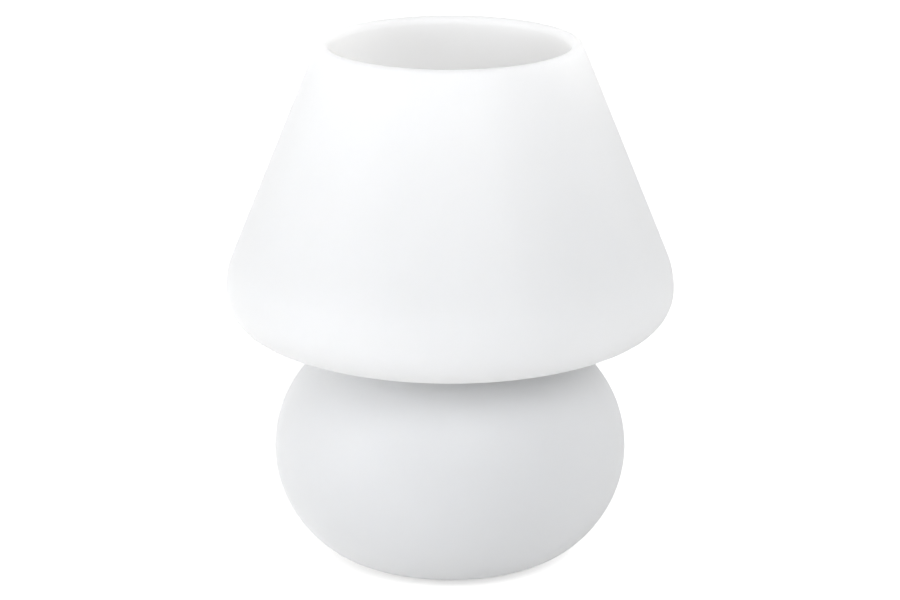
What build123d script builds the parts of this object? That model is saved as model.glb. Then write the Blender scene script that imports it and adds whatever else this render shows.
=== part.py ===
from build123d import *
from math import acos, atan2, cos, degrees, radians, sin, tan
import os

# Mushroom table lamp in one piece of opal glass: an open conical shade, a waist and a round
# base. The glass is clamped at its foot between two plates that carry an E14 lampholder.
# Millimetres. The lamp stands on z = 0, its axis is Z, and its cord inlet looks to +Y, the back.

os.makedirs("parts", exist_ok=True)

# ---------------------------------------------------------------- glass, driving dimensions
overall_height = 189.2
shade_radius = 80.0
rim_radius = 46.9
base_radius = 63.5
glass_wall = 4.4
belly_radius = 29.2            # arc of the outline above the shade's widest line
shoulder_radius = 13.9         # arc just below the widest line
shoulder_turn = 61.5           # degrees
underside_radius = 31.7        # flatter arc that rolls under the shade
underside_rise = 15.0          # degrees that the underside climbs to the waist
waist_radius = 5.0             # hollow arc of the waist
waist_turn = 61.0              # degrees from the base's widest line up to the waist
side_share = 0.6693            # radius of the side's arc as a share of the base's radius
side_turn = 49.6               # degrees from the widest line down to the lower arc
lower_share = 0.4252           # the same for the arc that rolls the base under to its foot

# ---------------------------------------------------------------- foot
foot_ring_height = 1.5
foot_ring_margin = 0.6         # foot ring set back from both edges of the foot
foot_ring_edge = 0.3
foot_width = 5.5
foot_edge = 1.2                # polished inner edge of the foot
recess_depth = 8.0
recess_draft = 1.5             # how much the recess narrows going up
recess_corner = 2.0
seat_width = 11.05             # of the glass disc that the gaskets clamp

# ---------------------------------------------------------------- clamp
gasket_thickness = 1.0
gasket_margin = 0.5            # gasket set back from the plate's edge and from the hole
collar_clearance = 0.3
collar_wall = 1.5
collar_depth = 3.0
plate_thickness = 2.0
plate_clearance = 1.0          # plate to the recess's rounded corner
plate_edge = 0.6
screw_radius = 2.0             # M4
screw_hole_clearance = 0.2
screw_head_radius = 4.0
screw_head_height = 2.6
screw_head_edge = 1.0
screw_clearance = 1.2          # screw to the gasket's collar
screw_projection = 1.6         # screw end beyond its nut
slot_width = 1.0
slot_depth = 1.2
washer_radius = 3.8
washer_thickness = 0.9
nut_across_flats = 7.0
nut_thickness = 3.2
thread_clearance = 0.05        # plain stand-in for a thread

# ---------------------------------------------------------------- bracket and nipple
strip_thickness = 1.5
strip_width = 18.0
bend_radius = 2.5              # on the middle of the strip
spanner_room = 1.8             # nut corner to the bracket's bend
foot_reach = 4.5               # bracket foot past the screw's axis
nipple_radius = 5.0            # M10 x 1
nipple_bore_radius = 3.8
nipple_projection = 1.0        # nipple end below its nut
nipple_engagement = 5.2        # nipple inside the lampholder
nipple_gap = 1.0               # screw ends to the nipple's end
nipple_nut_across_flats = 14.0
nipple_nut_thickness = 3.0
lock_washer_radius = 8.0
lock_washer_thickness = 0.8
lock_tooth_count = 12
lock_tooth_depth = 1.2
lock_tooth_width = 1.4

# ---------------------------------------------------------------- lampholder
holder_radius = 13.8
boss_radius = 9.6
boss_height = 6.0
dome_height = 7.0              # swell from the boss to the full radius
dome_bend = 2.0
holder_wall = 1.5
spigot_height = 5.0
spigot_clearance = 0.15        # spigot of the base in the shell
grip_rib_count = 12
grip_rib_radius = 0.7
grip_rib_margin = 1.0
grub_radius = 1.5              # M3
grub_length = 4.4
grub_gap = 0.1
shell_edge = 1.2
mouth_wall = 4.4
mouth_depth = 6.5
shell_overlap = 3.2            # shell past the end of the bulb's thread
carrier_clearance = 0.2
carrier_flange = 3.2
carrier_step = 1.6             # flange stands this far out of the carrier's body
carrier_height = 11.2          # body above the flange
well_radius = 6.4
well_depth = 3.6
chamber_clearance = 0.2
lip_thickness = 2.0            # ceramic lip that holds the plunger in
nose_radius = 2.5
nose_clearance = 0.08
nose_projection = 2.0          # plunger above the well's floor
nose_edge = 0.6
collar_radius = 3.4            # plunger's collar
plunger_collar_height = 1.5
plunger_travel = 0.5           # collar below its lip with the bulb in
spring_radius = 3.2
spring_wire = 0.6
spring_gap = 0.1
contact_strip = 0.5
contact_width = 4.0
slot_clearance = 0.25
block_length = 4.6
block_width = 6.0
block_height = 7.5
block_clearance = 0.5
block_offset = 7.2             # block's middle from the axis
block_hole_radius = 1.3
block_hole_depth = 6.0
terminal_screw_radius = 1.2
terminal_screw_height = 3.2    # above the block's lower face

# ---------------------------------------------------------------- bulb
thread_pitch = 2.822           # E14
unscrew_turns = 4
cap_radius = 6.95
cap_clearance = 0.1            # cap in its sleeve
cap_wall = 0.3
sleeve_wall = 0.4
sleeve_flange = 2.0            # flange stands this far out of the sleeve
sleeve_flange_gap = 0.1
tip_gap = 0.1
tip_radius = 3.2
tip_height = 1.2
tip_edge = 0.6
insulator_radius = 4.6
insulator_height = 2.2
thread_length = 13.3
flare_height = 2.0
skirt_radius = 8.5
skirt_height = 6.5
globe_share = 0.4214           # globe's radius as a share of the bulb's length past its cap
globe_wall = 0.9
bulb_length = 78.0
globe_neck_clearance = 0.15
globe_neck_depth = 5.0         # glass neck inside the skirt
neck_blend_radius = 16.0       # hollow arc between globe and neck
stem_rod_radius = 1.6
stem_flare_height = 5.0
stem_clearance = 0.1
filament_count = 4
filament_radius = 0.8
filament_share = 1.156         # filament's length as a share of the globe's radius
filament_drop = 4.1            # filaments' middle below the globe's
filament_foot_radius = 9.0
filament_top_radius = 4.0
filament_rise = 5.0            # filament feet above the stem
wire_radius = 0.25
board_thickness = 1.0
board_margin = 0.3
chip_size = 3.0
chip_height = 1.4
chip_pitch = 4.5
wire_gap = 0.3
hub_radius = 0.9
hub_rise = 1.0                 # hub above the filaments' tops

# ---------------------------------------------------------------- cord inlet
inlet_drop = 25.0              # degrees that the inlet points down
inlet_bore_radius = 3.3
inlet_hub_wall = 2.2
inlet_hole_clearance = 0.2
inlet_flange_width = 1.9
inlet_flange_thickness = 1.8
inlet_flange_gap = 0.1
inlet_edge = 0.5


def spoke(length, angle):
    """Step of a given length at an angle in degrees, in the half plane of radius and height."""
    return Vector(length * cos(radians(angle)), length * sin(radians(angle)))


# ---------------------------------------------------------------- outline of the glass
# Each arc runs into the next, so every centre follows from its neighbour's.
side_radius = base_radius * side_share
lower_radius = base_radius * lower_share
side_centre = Vector(
    base_radius - side_radius,
    foot_ring_height + lower_radius + (side_radius - lower_radius) * sin(radians(side_turn)),
)
lower_centre = side_centre + spoke(side_radius - lower_radius, -side_turn)
waist_centre = side_centre + spoke(side_radius + waist_radius, waist_turn)
underside_start = waist_centre + spoke(waist_radius, 90 - underside_rise)
underside_centre_radius = (
    shade_radius - shoulder_radius
    - (underside_radius - shoulder_radius) * cos(radians(shoulder_turn))
)
underside_run = (
    underside_centre_radius - underside_radius * sin(radians(underside_rise)) - underside_start.X
)
underside_centre = Vector(
    underside_centre_radius,
    underside_start.Y
    - underside_run * tan(radians(underside_rise))
    + underside_radius * cos(radians(underside_rise)),
)
shoulder_centre = underside_centre + spoke(underside_radius - shoulder_radius, -shoulder_turn)
belly_centre = Vector(shade_radius - belly_radius, shoulder_centre.Y)
lip_radius = glass_wall / 2
lip_centre = Vector(rim_radius - lip_radius, overall_height - lip_radius)
belly_to_lip = lip_centre - belly_centre
side_lean = degrees(
    atan2(belly_to_lip.Y, belly_to_lip.X) - acos((belly_radius - lip_radius) / belly_to_lip.length)
)

foot_inner_radius = lower_centre.X - foot_width
recess_radius = foot_inner_radius - recess_draft
glass_hole_radius = recess_radius - seat_width
ceiling_z = foot_ring_height + recess_depth
seat_z = ceiling_z + glass_wall


def draw_skin(inset):
    """Draw the outer outline of the glass, or a line inside it, from foot to lip."""
    CenterArc(lower_centre, lower_radius - inset, -90, 90 - side_turn)
    CenterArc(side_centre, side_radius - inset, -side_turn, side_turn + waist_turn)
    CenterArc(
        waist_centre,
        waist_radius + inset,
        180 + waist_turn,
        -90 - underside_rise - waist_turn,
    )
    Line(
        waist_centre + spoke(waist_radius + inset, 90 - underside_rise),
        underside_centre + spoke(underside_radius - inset, -90 - underside_rise),
    )
    CenterArc(
        underside_centre,
        underside_radius - inset,
        -90 - underside_rise,
        90 + underside_rise - shoulder_turn,
    )
    CenterArc(shoulder_centre, shoulder_radius - inset, -shoulder_turn, shoulder_turn)
    CenterArc(belly_centre, belly_radius - inset, 0, side_lean)
    Line(
        belly_centre + spoke(belly_radius - inset, side_lean),
        lip_centre + spoke(lip_radius - inset, side_lean),
    )


# ---------------------------------------------------------------- heights, from the foot up
lower_gasket_z = ceiling_z - gasket_thickness
base_plate_z = lower_gasket_z - plate_thickness
clamp_plate_z = seat_z + gasket_thickness
bracket_z = clamp_plate_z + plate_thickness
bracket_foot_z = bracket_z + strip_thickness
nut_z = bracket_foot_z + washer_thickness
screw_end_z = nut_z + nut_thickness + screw_projection
nipple_z = screw_end_z + nipple_gap
nipple_nut_z = nipple_z + nipple_projection
lock_washer_z = nipple_nut_z + nipple_nut_thickness
web_z = lock_washer_z + lock_washer_thickness
holder_z = web_z + strip_thickness
nipple_top_z = holder_z + nipple_engagement
dome_z = holder_z + boss_height
full_z = dome_z + dome_height
joint_z = full_z + block_clearance + block_height
spigot_z = joint_z + spigot_height
carrier_flange_z = spigot_z + carrier_flange
carrier_top_z = carrier_flange_z + carrier_height
well_z = carrier_top_z - well_depth
lip_z = well_z - lip_thickness
nose_z = well_z + nose_projection
bulb_z = nose_z + tip_gap
thread_z = bulb_z + tip_height / 2 + insulator_height
sleeve_z = carrier_top_z + sleeve_flange_gap
sleeve_top_z = thread_z + unscrew_turns * thread_pitch - cap_clearance
flare_z = thread_z + thread_length
skirt_z = flare_z + flare_height
skirt_top_z = skirt_z + skirt_height
shell_top_z = flare_z + shell_overlap

# ---------------------------------------------------------------- radii and offsets
plate_radius = recess_radius - recess_corner - plate_clearance
gasket_radius = plate_radius - gasket_margin
collar_outer = glass_hole_radius - collar_clearance
collar_inner = collar_outer - collar_wall
screw_offset = collar_inner - screw_clearance - screw_radius
screw_hole_radius = screw_radius + screw_hole_clearance
nut_radius = nut_across_flats / 2 / cos(radians(30))
nipple_nut_radius = nipple_nut_across_flats / 2 / cos(radians(30))
leg_offset = screw_offset + nut_radius + spanner_room + strip_thickness
nipple_hole_radius = nipple_radius + thread_clearance
shell_inner_radius = holder_radius - holder_wall
spigot_radius = shell_inner_radius - spigot_clearance
spigot_inner_radius = spigot_radius - holder_wall
carrier_flange_radius = shell_inner_radius - carrier_clearance
carrier_radius = carrier_flange_radius - carrier_step
shell_step_radius = carrier_radius + carrier_clearance
mouth_radius = holder_radius - mouth_wall
chamber_radius = collar_radius + chamber_clearance
collar_z = lip_z - plunger_travel - plunger_collar_height
sleeve_radius = cap_radius + cap_clearance
sleeve_outer_radius = sleeve_radius + sleeve_wall
sleeve_flange_radius = sleeve_outer_radius + sleeve_flange
tail_z = joint_z + contact_strip
block_z = joint_z - block_height
globe_neck_radius = skirt_radius - cap_wall - globe_neck_clearance
bulb_top_z = bulb_z + bulb_length
globe_radius = globe_share * (bulb_top_z - skirt_top_z)
globe_centre_z = bulb_top_z - globe_radius
globe_neck_z = skirt_top_z - globe_neck_depth


def keep(piece, name):
    """Label a finished piece and write its STEP file."""
    piece.part.label = name
    export_step(piece.part, f"parts/{name}.step")


# ================================================================ glass and foot
inlet = Plane(
    origin=(0, side_centre.X, side_centre.Y),
    x_dir=(1, 0, 0),
    z_dir=(0, cos(radians(inlet_drop)), -sin(radians(inlet_drop))),
)
inlet_axis = Axis(inlet.origin, inlet.z_dir)
inlet_section = Plane(inlet.origin, x_dir=inlet.x_dir, z_dir=inlet.x_dir.cross(inlet.z_dir))
inlet_hub_radius = inlet_bore_radius + inlet_hub_wall
inlet_hole_radius = inlet_hub_radius + inlet_hole_clearance
inlet_flange_radius = inlet_hub_radius + inlet_flange_width
inlet_inside = side_radius - glass_wall

with BuildPart() as glass_body:
    with BuildSketch(Plane.XZ):
        with BuildLine():
            draw_skin(0)
            CenterArc(lip_centre, lip_radius, side_lean, 180)
            draw_skin(glass_wall)
            FilletPolyline(
                (glass_hole_radius, ceiling_z),
                (recess_radius, ceiling_z),
                (foot_inner_radius, foot_ring_height),
                (lower_centre.X, foot_ring_height),
                radius=(recess_corner, foot_edge),
            )
            FilletPolyline(
                (glass_hole_radius, seat_z),
                (recess_radius + glass_wall, seat_z),
                (lower_centre.X, foot_ring_height + glass_wall),
                radius=recess_corner + glass_wall,
            )
            Line((glass_hole_radius, ceiling_z), (glass_hole_radius, seat_z))
        make_face()
    revolve(axis=Axis.Z)
    with BuildSketch(inlet.offset(inlet_inside - glass_wall)):
        Circle(inlet_hole_radius)
    extrude(amount=glass_wall * 3, mode=Mode.SUBTRACT)
keep(glass_body, "glass_body")

with BuildPart() as foot_ring:
    with BuildSketch():
        Circle(lower_centre.X - foot_ring_margin)
        Circle(foot_inner_radius + foot_edge, mode=Mode.SUBTRACT)
    extrude(amount=foot_ring_height)
    chamfer(foot_ring.faces().sort_by(Axis.Z)[0].edges(), foot_ring_edge)
keep(foot_ring, "foot_ring")

# Soft bush in the glass: a hub with a flange on each side of the wall. The inner wall is
# hollow there, so the inner flange stands off by the depth of that hollow.
inner_hollow = inlet_inside - (inlet_inside**2 - inlet_flange_radius**2) ** 0.5
inlet_outer_face = side_radius + inlet_flange_gap
inlet_inner_face = inlet_inside - inner_hollow - inlet_flange_gap
with BuildPart() as cord_grommet:
    with BuildSketch(inlet_section):
        with BuildLine():
            Polyline(
                (inlet_bore_radius, inlet_inner_face - inlet_flange_thickness),
                (inlet_flange_radius, inlet_inner_face - inlet_flange_thickness),
                (inlet_flange_radius, inlet_inner_face),
                (inlet_hub_radius, inlet_inner_face),
                (inlet_hub_radius, inlet_outer_face),
                (inlet_flange_radius, inlet_outer_face),
                (inlet_flange_radius, inlet_outer_face + inlet_flange_thickness),
                (inlet_bore_radius, inlet_outer_face + inlet_flange_thickness),
                close=True,
            )
        make_face()
    revolve(axis=inlet_axis)
    rims = cord_grommet.edges().filter_by(GeomType.CIRCLE).filter_by(
        lambda edge: abs(edge.radius - inlet_flange_radius) < inlet_edge
    )
    chamfer(rims, inlet_edge)
keep(cord_grommet, "cord_grommet")

# ================================================================ clamp
with BuildPart() as base_plate:
    with BuildSketch(Plane.XY.offset(base_plate_z)):
        Circle(plate_radius)
        with Locations((-screw_offset, 0), (screw_offset, 0)):
            Circle(screw_hole_radius, mode=Mode.SUBTRACT)
    extrude(amount=plate_thickness)
    rim = base_plate.edges().group_by(Axis.Z)[0].sort_by(SortBy.LENGTH)[-1]
    chamfer(rim, plate_edge)
keep(base_plate, "base_plate")

with BuildPart() as lower_gasket:
    with BuildSketch(Plane.XY.offset(lower_gasket_z)):
        Circle(gasket_radius)
        Circle(collar_inner, mode=Mode.SUBTRACT)
    extrude(amount=gasket_thickness)
keep(lower_gasket, "lower_gasket")

with BuildPart() as upper_gasket:
    with BuildSketch(Plane.XZ):
        with BuildLine():
            Polyline(
                (collar_inner, seat_z - collar_depth),
                (collar_outer, seat_z - collar_depth),
                (collar_outer, seat_z),
                (gasket_radius, seat_z),
                (gasket_radius, clamp_plate_z),
                (collar_inner, clamp_plate_z),
                close=True,
            )
        make_face()
    revolve(axis=Axis.Z)
keep(upper_gasket, "upper_gasket")

with BuildPart() as clamp_plate:
    with BuildSketch(Plane.XY.offset(clamp_plate_z)):
        Circle(plate_radius)
        with Locations((-screw_offset, 0), (screw_offset, 0)):
            Circle(screw_hole_radius, mode=Mode.SUBTRACT)
    extrude(amount=plate_thickness)
    rim = clamp_plate.edges().group_by(Axis.Z)[-1].sort_by(SortBy.LENGTH)[-1]
    chamfer(rim, plate_edge)
keep(clamp_plate, "clamp_plate")

with BuildPart() as clamp_screws:
    with BuildSketch(Plane.XY.offset(base_plate_z)):
        with Locations((-screw_offset, 0), (screw_offset, 0)):
            Circle(screw_head_radius)
    extrude(amount=-screw_head_height)
    crowns = clamp_screws.edges().group_by(Axis.Z)[0]
    chamfer(crowns, screw_head_edge)
    with BuildSketch(Plane.XY.offset(base_plate_z - screw_head_height)):
        with Locations((-screw_offset, 0), (screw_offset, 0)):
            Rectangle(screw_head_radius * 2, slot_width)
    extrude(amount=slot_depth, mode=Mode.SUBTRACT)
    with BuildSketch(Plane.XY.offset(base_plate_z)):
        with Locations((-screw_offset, 0), (screw_offset, 0)):
            Circle(screw_radius)
    extrude(amount=screw_end_z - base_plate_z)
keep(clamp_screws, "clamp_screws")

with BuildPart() as spring_washers:
    with BuildSketch(Plane.XY.offset(bracket_foot_z)):
        with Locations((-screw_offset, 0), (screw_offset, 0)):
            Circle(washer_radius)
            Circle(screw_hole_radius, mode=Mode.SUBTRACT)
    extrude(amount=washer_thickness)
keep(spring_washers, "spring_washers")

with BuildPart() as clamp_nuts:
    with BuildSketch(Plane.XY.offset(nut_z)):
        with Locations((-screw_offset, 0), (screw_offset, 0)):
            RegularPolygon(nut_radius, 6)
            Circle(screw_radius + thread_clearance, mode=Mode.SUBTRACT)
    extrude(amount=nut_thickness)
keep(clamp_nuts, "clamp_nuts")

# ================================================================ bracket and nipple
foot_end = screw_offset - foot_reach
strip_middle = strip_thickness / 2
with BuildPart() as holder_bracket:
    with BuildSketch(Plane.XZ):
        with BuildLine():
            FilletPolyline(
                (-foot_end, bracket_z + strip_middle),
                (-leg_offset, bracket_z + strip_middle),
                (-leg_offset, web_z + strip_middle),
                (leg_offset, web_z + strip_middle),
                (leg_offset, bracket_z + strip_middle),
                (foot_end, bracket_z + strip_middle),
                radius=bend_radius,
            )
        trace(line_width=strip_thickness)
    extrude(amount=strip_width / 2, both=True)
    with BuildSketch(Plane.XY.offset(bracket_z)):
        with Locations((-screw_offset, 0), (screw_offset, 0)):
            Circle(screw_hole_radius)
    extrude(amount=strip_thickness, mode=Mode.SUBTRACT)
    with BuildSketch(Plane.XY.offset(web_z)):
        Circle(nipple_hole_radius)
    extrude(amount=strip_thickness, mode=Mode.SUBTRACT)
keep(holder_bracket, "holder_bracket")

with BuildPart() as threaded_nipple:
    with BuildSketch(Plane.XY.offset(nipple_z)):
        Circle(nipple_radius)
        Circle(nipple_bore_radius, mode=Mode.SUBTRACT)
    extrude(amount=nipple_top_z - nipple_z)
keep(threaded_nipple, "threaded_nipple")

with BuildPart() as nipple_nut:
    with BuildSketch(Plane.XY.offset(nipple_nut_z)):
        RegularPolygon(nipple_nut_radius, 6)
        Circle(nipple_hole_radius, mode=Mode.SUBTRACT)
    extrude(amount=nipple_nut_thickness)
keep(nipple_nut, "nipple_nut")

with BuildPart() as lock_washer:
    with BuildSketch(Plane.XY.offset(lock_washer_z)):
        Circle(lock_washer_radius)
        Circle(nipple_hole_radius, mode=Mode.SUBTRACT)
        with PolarLocations(lock_washer_radius, lock_tooth_count):
            Rectangle(lock_tooth_depth * 2, lock_tooth_width, mode=Mode.SUBTRACT)
    extrude(amount=lock_washer_thickness)
keep(lock_washer, "lock_washer")

# ================================================================ lampholder
grub_z = holder_z + boss_height / 2
grub_axis = Plane(origin=(0, 0, grub_z), x_dir=(1, 0, 0), z_dir=(0, -1, 0))
with BuildPart() as holder_base:
    with BuildSketch(Plane.XZ):
        with BuildLine():
            FilletPolyline(
                (boss_radius, holder_z),
                (boss_radius, dome_z),
                (holder_radius, full_z - dome_bend),
                (holder_radius, joint_z),
                radius=dome_bend,
            )
            Polyline(
                (holder_radius, joint_z),
                (spigot_radius, joint_z),
                (spigot_radius, spigot_z),
                (spigot_inner_radius, spigot_z),
                (spigot_inner_radius, full_z),
                (boss_radius - holder_wall, dome_z + holder_wall),
                (nipple_hole_radius, dome_z + holder_wall),
                (nipple_hole_radius, holder_z),
                (boss_radius, holder_z),
            )
        make_face()
    revolve(axis=Axis.Z)
    with BuildSketch(Plane.XY.offset(full_z)):
        with PolarLocations(holder_radius, grip_rib_count):
            Circle(grip_rib_radius)
        Circle(holder_radius - grip_rib_radius, mode=Mode.SUBTRACT)
    extrude(amount=joint_z - full_z - grip_rib_margin)
    with BuildSketch(grub_axis):
        Circle(grub_radius + thread_clearance)
    extrude(amount=boss_radius + holder_wall, mode=Mode.SUBTRACT)
keep(holder_base, "holder_base")

with BuildPart() as grub_screw:
    with BuildSketch(grub_axis.offset(nipple_radius + grub_gap)):
        Circle(grub_radius)
    extrude(amount=grub_length)
    with BuildSketch(grub_axis.offset(nipple_radius + grub_gap + grub_length)):
        Rectangle(grub_radius * 2, slot_width / 2)
    extrude(amount=-slot_width, mode=Mode.SUBTRACT)
keep(grub_screw, "grub_screw")

with BuildPart() as holder_shell:
    with BuildSketch(Plane.XZ):
        with BuildLine():
            Polyline(
                (shell_inner_radius, joint_z),
                (holder_radius, joint_z),
                (holder_radius, shell_top_z),
                (mouth_radius, shell_top_z),
                (mouth_radius, shell_top_z - mouth_depth),
                (shell_step_radius, shell_top_z - mouth_depth),
                (shell_step_radius, carrier_flange_z),
                (shell_inner_radius, carrier_flange_z),
                close=True,
            )
        make_face()
    revolve(axis=Axis.Z)
    chamfer(holder_shell.edges().group_by(Axis.Z)[-1], shell_edge)
keep(holder_shell, "holder_shell")

# Ceramic insert: flange on the spigot, a well for the bulb's end, a chamber for the plunger's
# spring, and a slot down its side for the strip from the sleeve.
with BuildPart() as contact_carrier:
    with BuildSketch(Plane.XZ):
        with BuildLine():
            Polyline(
                (chamber_radius, tail_z),
                (spigot_inner_radius - carrier_clearance, tail_z),
                (spigot_inner_radius - carrier_clearance, spigot_z),
                (carrier_flange_radius, spigot_z),
                (carrier_flange_radius, carrier_flange_z),
                (carrier_radius, carrier_flange_z),
                (carrier_radius, carrier_top_z),
                (well_radius, carrier_top_z),
                (well_radius, well_z),
                (nose_radius + nose_clearance, well_z),
                (nose_radius + nose_clearance, lip_z),
                (chamber_radius, lip_z),
                close=True,
            )
        make_face()
    revolve(axis=Axis.Z)
    with BuildSketch(Plane.XY.offset(tail_z)):
        with Locations((carrier_flange_radius + sleeve_flange_radius, 0)):
            Rectangle(carrier_flange_radius * 2, contact_width + slot_clearance * 2)
    extrude(amount=carrier_top_z - tail_z, mode=Mode.SUBTRACT)
keep(contact_carrier, "contact_carrier")

with BuildPart() as thread_sleeve:
    with BuildSketch(Plane.XZ):
        with BuildLine():
            Polyline(
                (sleeve_radius, sleeve_z),
                (sleeve_flange_radius, sleeve_z),
                (sleeve_flange_radius, sleeve_z + sleeve_wall),
                (sleeve_outer_radius, sleeve_z + sleeve_wall),
                (sleeve_outer_radius, sleeve_top_z),
                (sleeve_radius, sleeve_top_z),
                close=True,
            )
        make_face()
    revolve(axis=Axis.Z)
keep(thread_sleeve, "thread_sleeve")

strip_offset = sleeve_flange_radius + contact_strip
with BuildPart() as side_contact:
    with BuildSketch(Plane.XZ):
        with BuildLine():
            Polyline(
                (sleeve_outer_radius + contact_strip, sleeve_z + sleeve_wall + contact_strip / 2),
                (strip_offset, sleeve_z + sleeve_wall + contact_strip / 2),
                (strip_offset, tail_z - contact_strip / 2),
                (block_offset - block_length / 2, tail_z - contact_strip / 2),
            )
        trace(line_width=contact_strip)
    extrude(amount=contact_width / 2, both=True)
keep(side_contact, "side_contact")

with BuildPart() as centre_terminal:
    with BuildSketch(Plane.XY.offset(joint_z)):
        Circle(chamber_radius)
        with Locations((-(block_offset + block_length / 2) / 2, 0)):
            Rectangle(block_offset + block_length / 2, contact_width)
    extrude(amount=contact_strip)
keep(centre_terminal, "centre_terminal")

with BuildPart() as centre_contact:
    with BuildSketch(Plane.XY.offset(collar_z)):
        Circle(collar_radius)
    extrude(amount=plunger_collar_height)
    with BuildSketch(Plane.XY.offset(collar_z + plunger_collar_height)):
        Circle(nose_radius)
    extrude(amount=nose_z - collar_z - plunger_collar_height)
    chamfer(centre_contact.edges().group_by(Axis.Z)[-1], nose_edge)
keep(centre_contact, "centre_contact")

with BuildPart() as contact_spring:
    with BuildSketch(Plane.XY.offset(tail_z)):
        Circle(spring_radius)
        Circle(spring_radius - spring_wire, mode=Mode.SUBTRACT)
    extrude(amount=collar_z - spring_gap - tail_z)
keep(contact_spring, "contact_spring")

terminal_faces = [
    Plane(
        origin=(side * (block_offset + block_length / 2), 0, block_z + terminal_screw_height),
        z_dir=(side, 0, 0),
    )
    for side in (-1, 1)
]
with BuildPart() as terminal_blocks:
    with BuildSketch(Plane.XY.offset(block_z)):
        with Locations((-block_offset, 0), (block_offset, 0)):
            Rectangle(block_length, block_width)
    extrude(amount=block_height)
    with BuildSketch(Plane.XY.offset(block_z)):
        with Locations((-block_offset, 0), (block_offset, 0)):
            Circle(block_hole_radius)
    extrude(amount=block_hole_depth, mode=Mode.SUBTRACT)
    for face in terminal_faces:
        with BuildSketch(face):
            Circle(terminal_screw_radius + thread_clearance)
        extrude(amount=-block_length / 2, mode=Mode.SUBTRACT)
keep(terminal_blocks, "terminal_blocks")

with BuildPart() as terminal_screws:
    for face in terminal_faces:
        with BuildSketch(face):
            Circle(terminal_screw_radius)
        extrude(amount=-block_length / 2)
keep(terminal_screws, "terminal_screws")

# ================================================================ bulb
insulator_z = bulb_z + tip_height / 2
with BuildPart() as bulb_tip:
    with BuildSketch(Plane.XY.offset(bulb_z)):
        Circle(tip_radius)
    extrude(amount=tip_height)
    chamfer(bulb_tip.edges().group_by(Axis.Z)[0], tip_edge)
keep(bulb_tip, "bulb_tip")

with BuildPart() as bulb_insulator:
    with BuildSketch(Plane.XZ):
        with BuildLine():
            Polyline(
                (0, bulb_z + tip_height),
                (tip_radius, bulb_z + tip_height),
                (tip_radius, insulator_z),
                (insulator_radius, insulator_z),
                (cap_radius - cap_wall, thread_z),
                (0, thread_z),
                close=True,
            )
        make_face()
    revolve(axis=Axis.Z)
keep(bulb_insulator, "bulb_insulator")

with BuildPart() as bulb_cap:
    with BuildSketch(Plane.XZ):
        with BuildLine():
            Polyline(
                (cap_radius - cap_wall, thread_z),
                (cap_radius, thread_z),
                (cap_radius, flare_z),
                (skirt_radius, skirt_z),
                (skirt_radius, skirt_top_z),
                (skirt_radius - cap_wall, skirt_top_z),
                (skirt_radius - cap_wall, skirt_z),
                (cap_radius - cap_wall, flare_z),
                close=True,
            )
        make_face()
    revolve(axis=Axis.Z)
keep(bulb_cap, "bulb_cap")

# The globe's sphere and its neck are joined by a hollow arc that touches both.
blend_radius_r = globe_neck_radius + neck_blend_radius
blend_drop = ((globe_radius + neck_blend_radius) ** 2 - blend_radius_r**2) ** 0.5
blend_centre = Vector(blend_radius_r, globe_centre_z - blend_drop)
blend_angle = degrees(atan2(blend_drop, -blend_radius_r))


def draw_globe(inset):
    """Draw half the globe's outline from its neck to its pole, set in by a wall."""
    Line(
        (globe_neck_radius - inset, globe_neck_z),
        (globe_neck_radius - inset, blend_centre.Y),
    )
    CenterArc(blend_centre, neck_blend_radius + inset, 180, blend_angle - 180)
    CenterArc(
        (0, globe_centre_z),
        globe_radius - inset,
        blend_angle - 180,
        270 - blend_angle,
    )


with BuildPart() as bulb_globe:
    with BuildSketch(Plane.XZ):
        with BuildLine():
            draw_globe(0)
            draw_globe(globe_wall)
            Line(
                (0, globe_centre_z + globe_radius),
                (0, globe_centre_z + globe_radius - globe_wall),
            )
            Line(
                (globe_neck_radius, globe_neck_z),
                (globe_neck_radius - globe_wall, globe_neck_z),
            )
        make_face()
    revolve(axis=Axis.Z)
keep(bulb_globe, "bulb_globe")

stem_radius = globe_neck_radius - globe_wall - stem_clearance
filament_length = filament_share * globe_radius
filament_reach = filament_foot_radius - filament_top_radius
filament_climb = (filament_length**2 - filament_reach**2) ** 0.5
filament_foot_z = globe_centre_z - filament_drop - filament_climb / 2
filament_top_z = filament_foot_z + filament_climb
stem_top_z = filament_foot_z - filament_rise
with BuildPart() as bulb_stem:
    with BuildSketch(Plane.XZ):
        with BuildLine():
            Polyline(
                (0, globe_neck_z),
                (stem_radius, globe_neck_z),
                (stem_rod_radius, globe_neck_z + stem_flare_height),
                (stem_rod_radius, stem_top_z),
                (0, stem_top_z),
                close=True,
            )
        make_face()
    revolve(axis=Axis.Z)
keep(bulb_stem, "bulb_stem")

# Four filaments lean in to the axis. Each has a foot wire to the stem and a top wire to the hub.
def leaning(turn):
    """Plane at a filament's foot that looks along it, on the spoke at a given turn."""
    across = Vector(cos(radians(turn)), sin(radians(turn)), 0)
    along = across * -filament_reach + Vector(0, 0, filament_climb)
    foot = across * filament_foot_radius + Vector(0, 0, filament_foot_z)
    return Plane(origin=foot, z_dir=along)


filament_turns = [45 + 360 / filament_count * index for index in range(filament_count)]
with BuildPart() as led_filaments:
    for turn in filament_turns:
        with BuildSketch(leaning(turn)):
            Circle(filament_radius)
        extrude(amount=filament_length)
keep(led_filaments, "led_filaments")


def strut(start, end):
    """Plane at one end of a straight wire that looks to the other end, and the wire's length."""
    along = end - start
    return Plane(origin=start, z_dir=along), along.length


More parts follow.
